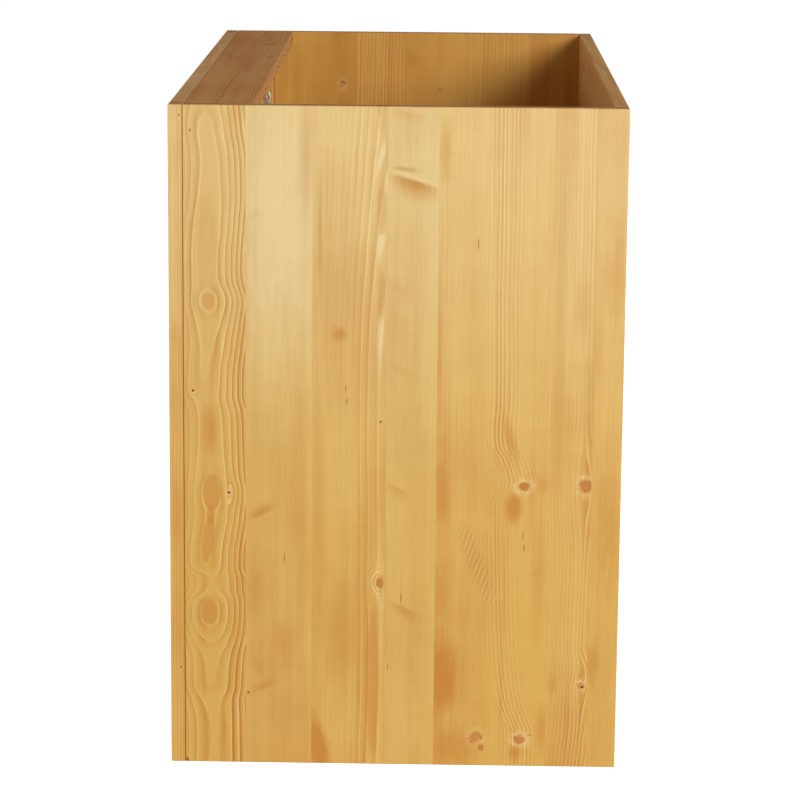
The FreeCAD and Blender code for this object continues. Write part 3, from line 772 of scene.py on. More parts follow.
# the left side, whose upper inner face shows through the open top; its stave tones carry painted shade,
# darker and warmer
leftSide = {
    **grain["endPanel"], "cloud": 0.5,
    "staves": [
        newStave(-0.254, (-0.5, 0.0034, -0.36), (0.008, 0.0, 0.006), 0.5, 0.3, 41.0, (0.97, 0.87, 0.72)),
        newStave(-0.106, (-0.085, 0.015, -0.28), (0.012, 0.0, 0.02), 0.25, 0.2, 44.0, (0.94, 0.82, 0.67)),
        newStave(-0.069, (-0.11, -0.0046, -0.43), (0.022, 0.0, 0.012), 0.8, 0.7, 47.0, (1.0, 0.89, 0.75)),
        newStave(0.01, (0.06, 0.012, -0.25), (0.012, 0.0, 0.02), 0.25, 0.15, 51.0, (0.98, 0.85, 0.71)),
        newStave(0.108, (0.33, -0.0052, -0.4), (0.01, 0.0, 0.008), 0.45, 0.35, 55.0, (0.95, 0.83, 0.69)),
        newStave(0.205, (0.5, 0.0036, -0.4), (0.008, 0.0, 0.006), 0.5, 0.3, 58.0, (0.94, 0.83, 0.68)),
    ],
    "knots": [
        knotAt((-0.089, 0.768), 0.0042, -1.5, 0.6, 1.0, stretch=1.3, halo="pale"),
        knotAt((0.063, 0.762), 0.0035, -1.0, 0.9, 1.0, stretch=0.45),
        knotAt((-0.19, 0.43), 0.0075, -1.2, 0.8, 0.7),
        knotAt((0.055, 0.3), 0.0085, 1.6, 0.8, 0.6),
        knotAt((0.245, 0.55), 0.006, -1.4, 0.85, 0.8),
        knotAt((-0.04, 0.14), 0.007, 1.4, 0.7, 0.5),
    ],
    "patches": [
        *flame((0.02, 0.815), 0.030, 0.030, -0.3, 0.5, 3),
        *flame((-0.088, 0.55), 0.018, 0.024, 0.4, 0.5, 1),
        *flame((0.06, 0.60), 0.040, 0.028, -0.4, 0.5, 3),
        patchAt((0.03, 0.8), 0.035, 0.1, 0.4, 3),
        patchAt((0.15, 0.72), 0.04, 0.12, 0.4, 4),
    ],
    # the second line is painted shadow along the hinge batten's back edge, on the inner face only
    "seamsAndShadowLines": [("Y", -0.254, 0.8), ("Y", -0.1962, 0.8, "X")],
    # lifts the outside face back from the painted shade in the stave tones
    "outer": (1.03, 1.13, 1.3),
}


# what the other boards are drawn from, each with its own seed; lengths in metres
sawn = {
    "edgeShift": 0.2, "flatShare": 0.45, "flatAside": 0.3, "quarterAside": (0.08, 0.25),
    "under": (0.025, 0.05), "bright": (0.96, 1.03), "green": (0.97, 1.02), "blue": (0.9, 1.06),
    "glow": (0.15, 0.5), "seed": (0, 60), "pitch": (0.0030, 0.0048), "wander": (0.004, 0.012),
    "lean": (-0.012, 0.012), "swell": (0.012, 0.03), "knotInset": 0.008, "knotFromEnd": 0.03,
    "knotRadius": (0.003, 0.009), "knotStretch": (0.9, 1.5), "knotPull": (-1.2, 1.3), "knotDark": (0.5, 0.9),
    "knotRim": (0.3, 0.8),
}


def stavePlan(node, run, seed, staveWidth=None, lines=(0.3, 0.75), knotRate=0.0, **finish):
    draw = random.Random(seed)
    along, across, through = [axisNumber[grain[run][way]] for way in ("along", "across", "through")]
    low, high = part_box(node)
    start, end = low[across], high[across]
    first, last = low[along], high[along]
    depth = (low[through] + high[through]) / 2
    count = max(1, round((end - start) / staveWidth)) if staveWidth else 1
    edges = [start + (end - start) * number / count for number in range(count + 1)]

    def pick(name):
        return draw.uniform(*sawn[name])

    for number in range(1, count):
        edges[number] += draw.uniform(-sawn["edgeShift"], sawn["edgeShift"]) * (end - start) / count
    staves = []
    knots = []
    for left, right in zip(edges, edges[1:]):
        if draw.random() < sawn["flatShare"]:  # flat-sawn staves show arches, the others straight lines
            aside = draw.uniform(-sawn["flatAside"], sawn["flatAside"]) * (right - left)
        else:
            aside = draw.choice((-1, 1)) * pick("quarterAside")
        under = draw.choice((-1, 1)) * pick("under")
        bright = pick("bright")
        pith = ((left + right) / 2 + aside, pick("pitch"), depth + under)
        habit = (pick("wander"), pick("lean"), pick("swell"))
        strength, glow, noiseSeed = draw.uniform(*lines), pick("glow"), pick("seed")
        tone = (bright, bright * pick("green"), bright * pick("blue"))
        staves.append(newStave(left, pith, habit, strength, glow, noiseSeed, tone))
        inset, fromEnd = sawn["knotInset"], sawn["knotFromEnd"]
        for number in range(int(draw.random() + knotRate * (last - first))):
            at = (draw.uniform(left + inset, right - inset), draw.uniform(first + fromEnd, last - fromEnd))
            knots.append(knotAt(
                at, pick("knotRadius"), stretch=pick("knotStretch"), pull=draw.choice(sawn["knotPull"]),
                dark=pick("knotDark"), rim=pick("knotRim")))
    return {**grain[run], "staves": staves, "knots": knots, **finish}


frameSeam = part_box("side_panel_right")[0].y
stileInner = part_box("frame_stile_right")[0].x
stileSeams = [("X", stileInner, 0.7), ("X", -stileInner, 0.7)]
boards = {
    # the tints brown the bare wood and also paint shade on the tops and the rails' shaded inner faces
    "front_stretcher": dict(run="lying", seed=9, lines=(0.8, 0.9), knotRate=5.0, raw=1.0, cloud=0.7,
                            tint=(0.90, 0.73, 1.0), seamsAndShadowLines=[("Y", frameSeam, 0.35)]),
    "rear_top_rail": dict(run="rail", seed=17, knotRate=2.0, raw=0.8, tint=(0.84, 0.71, 0.84)),
    "rear_bottom_rail": dict(run="rail", seed=19, knotRate=2.0, raw=0.8, tint=(0.90, 0.81, 0.84)),
    "bottom_panel": dict(run="lying", seed=23, staveWidth=0.09, knotRate=0.8),
    "bottom_cleat_left": dict(run="cleat", seed=25),
    "bottom_cleat_right": dict(run="cleat", seed=26),
    "toe_board": dict(run="rail", seed=27, knotRate=2.0),
    "frame_stile_left": dict(run="upright", seed=31, seamsAndShadowLines=[("Y", frameSeam, 0.8)]),
    "frame_mid_stile": dict(run="upright", seed=35, knotRate=1.5),
    "frame_top_rail": dict(run="rail", seed=37, raw=0.6, tint=(0.82, 0.71, 0.86), topOnly=True,
                           seamsAndShadowLines=[("Y", frameSeam, 0.3), *stileSeams]),
    "frame_bottom_rail": dict(run="rail", seed=39, seamsAndShadowLines=stileSeams),
    "blind_panel": dict(run="upright", seed=43, staveWidth=0.09, knotRate=0.9),
    "hinge_batten": dict(run="endPanel", seed=45),
    "door_stop": dict(run="upright", seed=47),
    "shelf": dict(run="lying", seed=49, staveWidth=0.085, knotRate=0.8),
    "door_stile_hinge": dict(run="upright", seed=51, knotRate=1.0),
    "door_stile_knob": dict(run="upright", seed=53, knotRate=1.0),
    "door_rail_top": dict(run="rail", seed=55),
    "door_rail_bottom": dict(run="rail", seed=57, knotRate=2.0),
    "door_panel": dict(run="upright", seed=59, staveWidth=0.10, knotRate=0.9),
}
dress("side_panel_right", pineMaterial("pineRightSide", rightSide))
dress("side_panel_left", pineMaterial("pineLeftSide", leftSide))
dress("frame_stile_right", pineMaterial("pineRightStile", rightStile))
for boardName, settings in boards.items():
    dress(boardName, pineMaterial("pine_" + boardName, stavePlan(boardName, **settings)))
print("boards dressed:", len(boards) + 3)

# thin back board: a quiet peeled veneer
veneer = {"early": paint(214, 178, 124), "late": paint(186, 136, 82), "cloud": paint(198, 152, 96),
          "pith": (0.1, 0.0016, 0.270), "habit": (0.05, 0.0, 0.03), "roughness": (0.5, 0.68)}


def veneerMaterial():
    material, tree, shader = newMaterial("backBoardVeneer")
    board, objectPlace = boardSpace(tree, grain["upright"])[:2]
    values = {"Board": board, "Pith": veneer["pith"], "Habit": veneer["habit"], "Seed": 4.0}
    rings = useGroup(ringGroup, values)
    fibres = useGroup(fibreGroup, {"Board": board, "Seed": 8.0})
    colour = mixed(times(rings["Late"], 0.45), veneer["early"], veneer["late"])
    colour = mixed(fade(fibres["Cloud"], 0.35, 0.7, 0.0, 0.4), colour, veneer["cloud"])
    colour = mixed(times(fibres["Pore"], 0.35), colour, pine["resin"])
    fill(shader, {"Base Color": colour, "Roughness": handled(objectPlace, *veneer["roughness"])})
    return material


# dowels: pale beech with small flecks
beech = {"pale": paint(222, 190, 148), "fleck": paint(186, 138, 92), "roughness": (0.55, 0.7)}


def beechMaterial():
    material, tree, shader = newMaterial("dowelBeech")
    board, objectPlace = boardSpace(tree, grain["lying"])[:2]
    flecks = noise(stretched(board, (1400.0, 160.0, 1400.0)))
    colour = mixed(fade(flecks, 0.45, 0.62), beech["pale"], beech["fleck"])
    fill(shader, {"Base Color": colour, "Roughness": handled(objectPlace, *beech["roughness"])})
    return material


# plated steel with drawing lines and handling marks
plating = {
    "nickelPlate": {"bright": paint(228, 224, 216), "dull": paint(200, 194, 184), "roughness": (0.22, 0.42)},
    "zincPlate": {"bright": paint(196, 196, 194), "dull": paint(160, 160, 158), "roughness": (0.3, 0.5)},
}


def platedMaterial(name):
    look = plating[name]
    material, tree, shader = newMaterial(name)
    objectPlace = addNode(tree, "ShaderNodeTexCoord").outputs["Object"]
    clouds = noise(stretched(objectPlace, (120.0, 120.0, 120.0), 6.0), 4.0)
    lines = noise(stretched(objectPlace, (2600.0, 2600.0, 90.0), 2.0))
    colour = mixed(fade(clouds, 0.35, 0.7), look["bright"], look["dull"])
    sheen = handled(objectPlace, *look["roughness"])
    fill(shader, {"Base Color": colour, "Metallic": 1.0, "Roughness": sheen})
    addBump(shader, lines, 0.12, 0.05 * mm)
    return material


# felt: short hairs over darker tufts
feltLook = {"dark": paint(108, 92, 74), "hair": paint(150, 132, 108), "tuft": paint(84, 70, 56),
            "roughness": 0.95, "sheen": 0.4}


def feltMaterial():
    material, tree, shader = newMaterial("feltPad")
    objectPlace = addNode(tree, "ShaderNodeTexCoord").outputs["Object"]
    hairs = noise(stretched(objectPlace, (2400.0, 900.0, 2000.0)), 4.0)
    tufts = noise(stretched(objectPlace, (380.0, 380.0, 380.0), 4.0), 3.0)
    colour = mixed(fade(hairs, 0.35, 0.65), feltLook["dark"], feltLook["hair"])
    colour = mixed(fade(tufts, 0.5, 0.75, 0.0, 0.5), colour, feltLook["tuft"])
    fill(shader, {"Base Color": colour, "Roughness": feltLook["roughness"],
                  "Sheen Weight": feltLook["sheen"]})
    addBump(shader, hairs, 1.0, 0.3 * mm)
    return material


levels = ("upper", "lower")  # of the two hinges
nickel = platedMaterial("nickelPlate")
zinc = platedMaterial("zincPlate")
felt = feltMaterial()
dress("back_panel", veneerMaterial())
dress("carcass_dowels", beechMaterial())
for level in levels:
    dress("hinge_pin_" + level, zinc)
print("metal, felt and back board dressed")


# mesh helpers
def newPiece(name, mesh, body, material=None, replaced=(), smooth=40):
    for face in mesh.polygons:
        face.use_smooth = True
    mesh.set_sharp_from_angle(angle=math.radians(smooth))
    if material:
        mesh.materials.append(material)
    piece = bpy.data.objects.new(name, mesh)
    scene.collection.objects.link(piece)
    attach(piece, body)
    if replaced:
        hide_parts(*replaced)
    return piece


def loftRings(builder, rings):  # a closed skin over rings of equally many points
    rows = [[builder.verts.new(point) for point in ring] for ring in rings]
    count = len(rows[0])
    for lower, upper in zip(rows, rows[1:]):
        for number in range(count):
            after = (number + 1) % count
            builder.faces.new((lower[number], lower[after], upper[after], upper[number]))
    builder.faces.new(list(reversed(rows[0])))
    builder.faces.new(rows[-1])


def finishMesh(builder, name):
    bmesh.ops.remove_doubles(builder, verts=builder.verts, dist=1e-7)
    bmesh.ops.recalc_face_normals(builder, faces=builder.faces)
    mesh = bpy.data.meshes.new(name)
    builder.to_mesh(mesh)
    builder.free()
    return mesh


def roundEdges(builder, edges, offset, segments, profile=0.5):
    bmesh.ops.bevel(builder, geom=edges, offset=offset, segments=segments, profile=profile, affect="EDGES")


def turnedRings(profile, centre, axis, sides):  # rings of (radius, reach) pairs round an axis
    reach = Vector(axis)
    first = reach.orthogonal().normalized()
    second = reach.cross(first)
    rings = []
    for radius, far in profile:
        ring = []
        for number in range(sides):
            angle = 2 * math.pi * number / sides
            spoke = first * math.cos(angle) + second * math.sin(angle)
            ring.append(Vector(centre) + reach * far + spoke * radius)
        rings.append(ring)
    return rings


def rounded(points, radius, steps=5):  # a profile with its inner corners rounded off
    out = [Vector(points[0])]
    for before, here, after in zip(points, points[1:], points[2:]):
        here = Vector(here)
        back = Vector(before) - here
        on = Vector(after) - here
        cut = min(radius, back.length * 0.45, on.length * 0.45)
        start = here + back.normalized() * cut
        end = here + on.normalized() * cut
        for step in range(steps + 1):
            share = step / steps
            out.append(start.lerp(here, share).lerp(here.lerp(end, share), share))
    out.append(Vector(points[-1]))
    return out


pole = 0.5 * mm  # radius of the flat at the ends of a turned shape

# turned knob: the drum of the frame with soft edges, a bead at the neck and a dished face
knobShape = {"edge": 2.6 * mm, "sides": 72, "dish": 0.7 * mm, "neck": 8.0 * mm, "neckReach": 10.0 * mm,
             "bead": 1.6 * mm, "shoulder": 4.0 * mm}


def makeKnob():
    low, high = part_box("door_knob")
    radius = (high.x - low.x) / 2
    reach = high.y - low.y
    centre = Vector(((low.x + high.x) / 2, high.y, (low.z + high.z) / 2))
    neck, neckReach = knobShape["neck"], knobShape["neckReach"]
    bead, shoulder, dish = knobShape["bead"], knobShape["shoulder"], knobShape["dish"]
    corners = [
        (pole, 0.0), (neck, 0.0), (neck, bead), (neck - 1.2 * mm, 2.6 * mm),
        (neck - 1.6 * mm, neckReach - 2 * mm), (neck + 1.0 * mm, neckReach),
        (radius - 1.0 * mm, neckReach + 1.2 * mm), (radius, neckReach + shoulder),
        (radius, reach - shoulder), (radius - shoulder, reach), (radius * 0.45, reach - dish * 0.8),
        (pole, reach - dish),
    ]
    builder = bmesh.new()
    profile = rounded(corners, knobShape["edge"])
    loftRings(builder, turnedRings(profile, centre, (0, -1, 0), knobShape["sides"]))
    pith = (centre.x + 0.022, 0.0026, centre.z - 0.018)
    stave = newStave(-1.0, pith, (0.003, 0.0, 0.004), 0.8, 0.4, 6.0, (0.95, 0.93, 0.9))
    material = pineMaterial("turnedKnob", {**grain["cleat"], "cloud": 0.4, "pores": 0.2, "staves": [stave]})
    mesh = finishMesh(builder, "turned_knob")
    newPiece("turned_knob", mesh, "door", material, ["door_knob"], 50)


makeKnob()
print("knob turned")

# pressed hinge cup with a rounded flange on the door's back
cupShape = {"wall": 0.9 * mm, "lip": 0.7 * mm, "corner": 6.0 * mm, "sides": 96, "round": 1.6 * mm,
            "flangeHalf": 13 * mm}


def flangeReach(angle, halfLength, cup):  # from the middle of the cup to the flange's outline
    halfWidth, corner = cupShape["flangeHalf"], cupShape["corner"]
    c, s = abs(math.cos(angle)), abs(math.sin(angle))
    reach = min(halfWidth / c if c > 1e-6 else 1.0, halfLength / s if s > 1e-6 else 1.0)
    x, z = reach * c, reach * s
    if x > halfWidth - corner and z > halfLength - corner:  # round the corner off
        cx, cz = halfWidth - corner, halfLength - corner
        along = cx * c + cz * s
        reach = along + math.sqrt(max(0.0, along ** 2 - cx ** 2 - cz ** 2 + corner ** 2))
    return max(reach, cup)


def makeCup(level):
    node = "hinge_cup_" + level
    low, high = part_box(node)
    cup = (high.x - low.x) / 2
    halfLength = (high.z - low.z) / 2
    middle = (low + high) / 2
    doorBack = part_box("door_stile_hinge")[1].y
    sides, wall, lip, edge = [cupShape[name] for name in ("sides", "wall", "lip", "round")]
    angles = [2 * math.pi * number / sides for number in range(sides)]
    outline = [flangeReach(angle, halfLength, cup) for angle in angles]
    inner = cup - wall
    bevel = (high.y - doorBack) * 0.45

    def ring(reaches, y):
        spokes = zip(reaches, angles)
        return [Vector((middle.x + r * math.cos(a), y, middle.z + r * math.sin(a))) for r, a in spokes]

    def circle(radius, y):
        return ring([radius] * sides, y)

    rings = [
        circle(pole, low.y), circle(cup - edge, low.y), circle(cup - edge * 0.3, low.y + edge * 0.3),
        circle(cup, low.y + edge), circle(cup, doorBack), ring(outline, doorBack),
        ring(outline, doorBack + bevel), ring([r - bevel for r in outline], high.y),
        circle(inner + lip, high.y), circle(inner, high.y - lip), circle(inner, low.y + wall + edge),
        circle(inner - edge, low.y + wall), circle(pole, low.y + wall),
    ]
    builder = bmesh.new()
    loftRings(builder, rings)
    name = "pressed_cup_" + level
    newPiece(name, finishMesh(builder, name), "door", nickel, [node], 35)


# cross-shaped mounting plate: two wings with long holes, and a raised saddle for the arm
plateShape = {
    "base": 2.0 * mm, "saddleHalf": 6.0 * mm, "wingHalf": 5.0 * mm, "wingFromFront": 23.0 * mm,
    "tipsFrom": 20 * mm, "tipRound": 4.2 * mm, "softEdge": 0.7 * mm,
    "slotFromMiddle": 17.6 * mm, "slotHalf": 1.9 * mm, "slotReach": 2.5 * mm, "slotDepth": 4 * mm,
    "slotSides": 32,
}


def cutSlots(mesh, places):  # long holes for adjusting the plate
    half, reach, deep = plateShape["slotHalf"], plateShape["slotReach"], plateShape["slotDepth"]
    outline = []
    for number in range(plateShape["slotSides"]):
        angle = 2 * math.pi * number / plateShape["slotSides"]
        far = reach if math.sin(angle) >= 0 else -reach
        outline.append(Vector((0, half * math.cos(angle), half * math.sin(angle) + far)))
    builder = bmesh.new()
    for place in places:
        ring = [place + point for point in outline]
        loftRings(builder, [[point + Vector((shift, 0, 0)) for point in ring] for shift in (-deep, deep)])
    cutter = bpy.data.objects.new("slots", finishMesh(builder, "slots"))
    carrier = bpy.data.objects.new(mesh.name, mesh)
    for item in (cutter, carrier):
        scene.collection.objects.link(item)
    modifier = carrier.modifiers.new("slots", "BOOLEAN")
    modifier.operation = "DIFFERENCE"
    modifier.object = cutter
    bpy.context.view_layer.update()
    made = bpy.data.meshes.new_from_object(carrier.evaluated_get(bpy.context.evaluated_depsgraph_get()))
    carrier.modifiers.clear()
    for item in (cutter, carrier):
        bpy.data.objects.remove(item)
    return made


def vertsOf(found):
    return [item for item in found if isinstance(item, bmesh.types.BMVert)]


def makePlate(level):  # a cross of five fields: the base, then the saddle raised from the middle row
    node = "hinge_plate_" + level
    low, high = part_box(node)
    base, saddleHalf, wingHalf = plateShape["base"], plateShape["saddleHalf"], plateShape["wingHalf"]
    wingMiddle = low.y + plateShape["wingFromFront"]
    middle = (low.z + high.z) / 2
    ys = [low.y, wingMiddle - wingHalf, wingMiddle + wingHalf, high.y]
    zs = [low.z, middle - saddleHalf, middle + saddleHalf, high.z]
    builder = bmesh.new()
    grid = {}

    def corner(i, j):
        if (i, j) not in grid:
            grid[i, j] = builder.verts.new((low.x, ys[i], zs[j]))
        return grid[i, j]

    for i, j in ((1, 0), (1, 2), (0, 1), (1, 1), (2, 1)):
        builder.faces.new((corner(i, j), corner(i + 1, j), corner(i + 1, j + 1), corner(i, j + 1)))
    top = bmesh.ops.extrude_face_region(builder, geom=list(builder.faces))["geom"]
    bmesh.ops.translate(builder, vec=(base, 0, 0), verts=vertsOf(top))
    faces = [item for item in top if isinstance(item, bmesh.types.BMFace)]
    raised = [face for face in faces if abs(face.calc_center_median().z - middle) < saddleHalf]
    saddle = bmesh.ops.extrude_face_region(builder, geom=raised)["geom"]
    bmesh.ops.delete(builder, geom=raised, context="FACES_ONLY")
    bmesh.ops.translate(builder, vec=(high.x - low.x - base, 0, 0), verts=vertsOf(saddle))
    bmesh.ops.recalc_face_normals(builder, faces=builder.faces)
    tips = [e for e in builder.edges if abs((e.verts[0].co - e.verts[1].co).x) > 1 * mm
            and abs(e.verts[0].co.z - middle) > plateShape["tipsFrom"]]
    roundEdges(builder, tips, plateShape["tipRound"], 6)
    sharp = [e for e in builder.edges if len(e.link_faces) == 2 and e.calc_face_angle(0) > 0.9
             and min(v.co.x for v in e.verts) > low.x + 0.5 * mm]
    roundEdges(builder, sharp, plateShape["softEdge"], 3)
    name = "saddle_plate_" + level
    slotHeights = [middle + side * plateShape["slotFromMiddle"] for side in (-1, 1)]
    slots = [Vector((low.x + base / 2, wingMiddle, height)) for height in slotHeights]
    newPiece(name, cutSlots(finishMesh(builder, name), slots), "carcass", nickel, [node], 35)


for level in levels:
    makeCup(level)
    makePlate(level)
print("hinge cups and plates pressed")


# helpers for geometry trees
def geometryTree(name, sizes):
    tree = bpy.data.node_groups.new(name, "GeometryNodeTree")
    tree.interface.new_socket(name="Geometry", in_out="INPUT", socket_type="NodeSocketGeometry")
    for label, value in sizes.items():
        kind = "NodeSocketInt" if isinstance(value, int) else "NodeSocketFloat"
        tree.interface.new_socket(name=label, in_out="INPUT", socket_type=kind).default_value = value
    tree.interface.new_socket(name="Finish", in_out="INPUT", socket_type="NodeSocketMaterial")
    tree.interface.new_socket(name="Geometry", in_out="OUTPUT", socket_type="NodeSocketGeometry")
    return tree, tree.nodes.new("NodeGroupInput").outputs, tree.nodes.new("NodeGroupOutput").inputs


def finishTree(tree, given, put, shape):  # real meshes with their material
    real = grow(tree, "GeometryNodeRealizeInstances", {"Geometry": shape})
    values = {"Geometry": real["Geometry"], "Material": given["Finish"]}
    feed(put["Geometry"], grow(tree, "GeometryNodeSetMaterial", values)["Geometry"])
    return tree


def runTree(name, mesh, tree, values):  # the tree's result on a mesh, as a plain mesh
    carrier = bpy.data.objects.new(name, mesh)
    scene.collection.objects.link(carrier)
    modifier = carrier.modifiers.new(name, "NODES")
    modifier.node_group = tree
    for item in tree.interface.items_tree:
        if item.item_type == "SOCKET" and item.in_out == "INPUT" and item.name in values:
            modifier[item.identifier] = values[item.name]
    bpy.context.view_layer.update()
    evaluated = carrier.evaluated_get(bpy.context.evaluated_depsgraph_get())
    made = bpy.data.meshes.new_from_object(evaluated)
    carrier.modifiers.clear()
    bpy.data.objects.remove(carrier)
    made.name = name
    return made


# cross-slot screw heads on points; each point carries the way its screw faces
screwSizes = {"Head radius": 3.4 * mm, "Head height": 1.0 * mm, "Slot width": 0.9 * mm,
              "Slot length": 3.8 * mm, "Slot depth": 0.7 * mm, "Seed": 7}


def makeScrewTree():
    tree, given, put = geometryTree("crossScrews", screwSizes)
    values = {"Vertices": 28, "Radius Top": times(given["Head radius"], 0.72),
              "Radius Bottom": given["Head radius"], "Depth": given["Head height"]}
    head = grow(tree, "GeometryNodeMeshCone", values, fill_type="NGON")["Mesh"]
    place = joined(0.0, 0.0, given["Head height"])
    for wide, long in (("Slot length", "Slot width"), ("Slot width", "Slot length")):  # one slot at a time
        size = joined(given[wide], given[long], given["Slot depth"])
        bar = grow(tree, "GeometryNodeMeshCube", {"Size": size})
        lift = grow(tree, "GeometryNodeTransform", {"Geometry": bar["Mesh"], "Translation": place})
        values = {"Mesh 1": head, "Mesh 2": lift["Geometry"]}
        head = grow(tree, "GeometryNodeMeshBoolean", values, operation="DIFFERENCE", solver="EXACT")["Mesh"]
    facing = grow(tree, "GeometryNodeInputNamedAttribute", {"Name": "facing"}, data_type="FLOAT_VECTOR")
    align = grow(tree, "FunctionNodeAlignRotationToVector", {"Vector": facing["Attribute"]}, axis="Z")
    chance = addNode(tree, "FunctionNodeRandomValue", data_type="FLOAT")
    chance.inputs[3].default_value = math.pi
    feed(chance.inputs["Seed"], given["Seed"])
    values = {"Rotation": align["Rotation"], "Rotate By": joined(0.0, 0.0, chance.outputs[1])}
    spin = grow(tree, "FunctionNodeRotateRotation", values, rotation_space="LOCAL")
    values = {"Points": given["Geometry"], "Instance": head, "Rotation": spin["Rotation"]}
    onPoints = grow(tree, "GeometryNodeInstanceOnPoints", values)
    return finishTree(tree, given, put, onPoints["Instances"])


def pointMesh(name, places):  # points with the way each faces
    mesh = bpy.data.meshes.new(name)
    mesh.from_pydata([place for place, facing in places], [], [])
    attribute = mesh.attributes.new("facing", "FLOAT_VECTOR", "POINT")
    for number, (place, facing) in enumerate(places):
        attribute.data[number].vector = facing
    return mesh


# where the screws sit: from the middle of a plate or cup, from a board's edge, or as shares of its length
screwPlaces = {
    "plateFromMiddle": 9.6 * mm, "armAboveSaddle": 2.4 * mm, "armFromFront": (7 * mm, 24 * mm),
    "armShift": 1 * mm, "cupFromMiddle": 24 * mm, "battenFromBack": 16 * mm,
    "battenShares": (0.1, 0.5, 0.9), "stopAside": 12 * mm, "stopShares": (0.08, 0.36, 0.64, 0.92),
}


def hardwareScrews():
    toRight, toBack = (1, 0, 0), (0, 1, 0)
    carcass, door = [], []
    for level in levels:
        low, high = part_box("hinge_plate_" + level)
        middle = (low.z + high.z) / 2
        x, y = low.x + plateShape["base"], low.y + plateShape["wingFromFront"]
        for side in (-1, 1):
            carcass.append(((x, y, middle + side * screwPlaces["plateFromMiddle"]), toRight))
        for back in screwPlaces["armFromFront"]:
            y = low.y + back + screwPlaces["armShift"]
            carcass.append(((high.x + screwPlaces["armAboveSaddle"], y, middle), toRight))
        cupLow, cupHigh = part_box("hinge_cup_" + level)
        for side in (-1, 1):
            height = middle + side * screwPlaces["cupFromMiddle"]
            door.append((((cupLow.x + cupHigh.x) / 2, cupHigh.y, height), toBack))
    low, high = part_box("hinge_batten")
    for share in screwPlaces["battenShares"]:
        height = low.z + share * (high.z - low.z)
        carcass.append(((high.x, high.y - screwPlaces["battenFromBack"], height), toRight))
    low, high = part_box("door_stop")
    for share in screwPlaces["stopShares"]:
        height = low.z + share * (high.z - low.z)
        carcass.append((((low.x + high.x) / 2 + screwPlaces["stopAside"], high.y, height), toBack))
    return {"carcass_screws": (carcass, "carcass"), "cup_screws": (door, "door")}


screwTree = makeScrewTree()
for pieceName, (places, body) in hardwareScrews().items():
    made = runTree(pieceName, pointMesh(pieceName, places), screwTree, {**screwSizes, "Finish": zinc})
    newPiece(pieceName, made, body, smooth=30)
    print(pieceName, "driven:", len(places))

# cranked arms: one rounded strip along a path in plan, out of the cup and back to the plate
armSizes = {"Bend": 9.0 * mm, "Thick": 2.4 * mm, "Width": 14.0 * mm, "Soft edge": 0.7 * mm, "Eye": 2.7 * mm}


def makeArmTree():
    tree, given, put = geometryTree("crankedArm", armSizes)
    path = grow(tree, "GeometryNodeMeshToCurve", {"Mesh": given["Geometry"]})
    values = {"Count": 12, "Curve": path["Curve"], "Radius": given["Bend"]}
    bends = grow(tree, "GeometryNodeFilletCurve", values, mode="POLY")
    upright = grow(tree, "GeometryNodeSetCurveNormal", {"Curve": bends["Curve"]}, mode="Z_UP")
    values = {"Width": given["Thick"], "Height": given["Width"]}
    section = grow(tree, "GeometryNodeCurvePrimitiveQuadrilateral", values, mode="RECTANGLE")
    values = {"Count": 4, "Curve": section["Curve"], "Radius": given["Soft edge"]}
    soft = grow(tree, "GeometryNodeFilletCurve", values, mode="POLY")
    values = {"Fill Caps": True, "Curve": upright["Curve"], "Profile Curve": soft["Curve"]}
    strip = grow(tree, "GeometryNodeCurveToMesh", values)
    values = {"Vertices": 36, "Radius": given["Eye"], "Depth": given["Width"]}
    eye = grow(tree, "GeometryNodeMeshCylinder", values, fill_type="NGON")
    ends = grow(tree, "GeometryNodeInputNamedAttribute", {"Name": "pivot"}, data_type="FLOAT")
    isPivot = isAbove(ends["Attribute"], 0.5)
    values = {"Points": given["Geometry"], "Instance": eye["Mesh"], "Selection": isPivot}
    atPivot = grow(tree, "GeometryNodeInstanceOnPoints", values)
    both = addNode(tree, "GeometryNodeJoinGeometry")
    for shape in (strip["Mesh"], atPivot["Instances"]):
        feed(both.inputs["Geometry"], shape)
    return finishTree(tree, given, put, both.outputs["Geometry"])


def armPaths():
    points, edges, pivots = [], [], []
    half = armSizes["Thick"] / 2
    for level in levels:
        plateLow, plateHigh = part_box("hinge_plate_" + level)
        pinLow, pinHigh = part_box("hinge_pin_" + level)
        pivot = (pinLow + pinHigh) / 2
        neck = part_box("hinge_arm_" + level)[1].x - half
        foot = plateHigh.x + half
        shoulder = pivot.y + neck - pivot.x
        front, back = plateLow.y, plateHigh.y
        path = [(pivot.x, pivot.y), (neck, shoulder), (neck, front), (foot, front), (foot, back)]
        start = len(points)
        points += [(x, y, pivot.z) for x, y in path]
        edges += [(start + number, start + number + 1) for number in range(len(path) - 1)]
        pivots += [1.0] + [0.0] * (len(path) - 1)
    mesh = bpy.data.meshes.new("armPaths")
    mesh.from_pydata(points, edges, [])
    attribute = mesh.attributes.new("pivot", "FLOAT", "POINT")
    attribute.data.foreach_set("value", pivots)
    return mesh


made = runTree("cranked_arms", armPaths(), makeArmTree(), {**armSizes, "Finish": nickel})
arms = ["hinge_arm_upper", "hinge_arm_lower"]
newPiece("cranked_arms", made, "carcass", replaced=arms, smooth=30)
print("hinge arms bent")

# turned shelf pins with a collar
pinShape = {"radius": 2.5 * mm, "reach": 9.0 * mm, "sink": 9.0 * mm, "collar": 0.9 * mm, "edge": 0.25 * mm,
            "sides": 32}
smallPole = 0.3 * mm


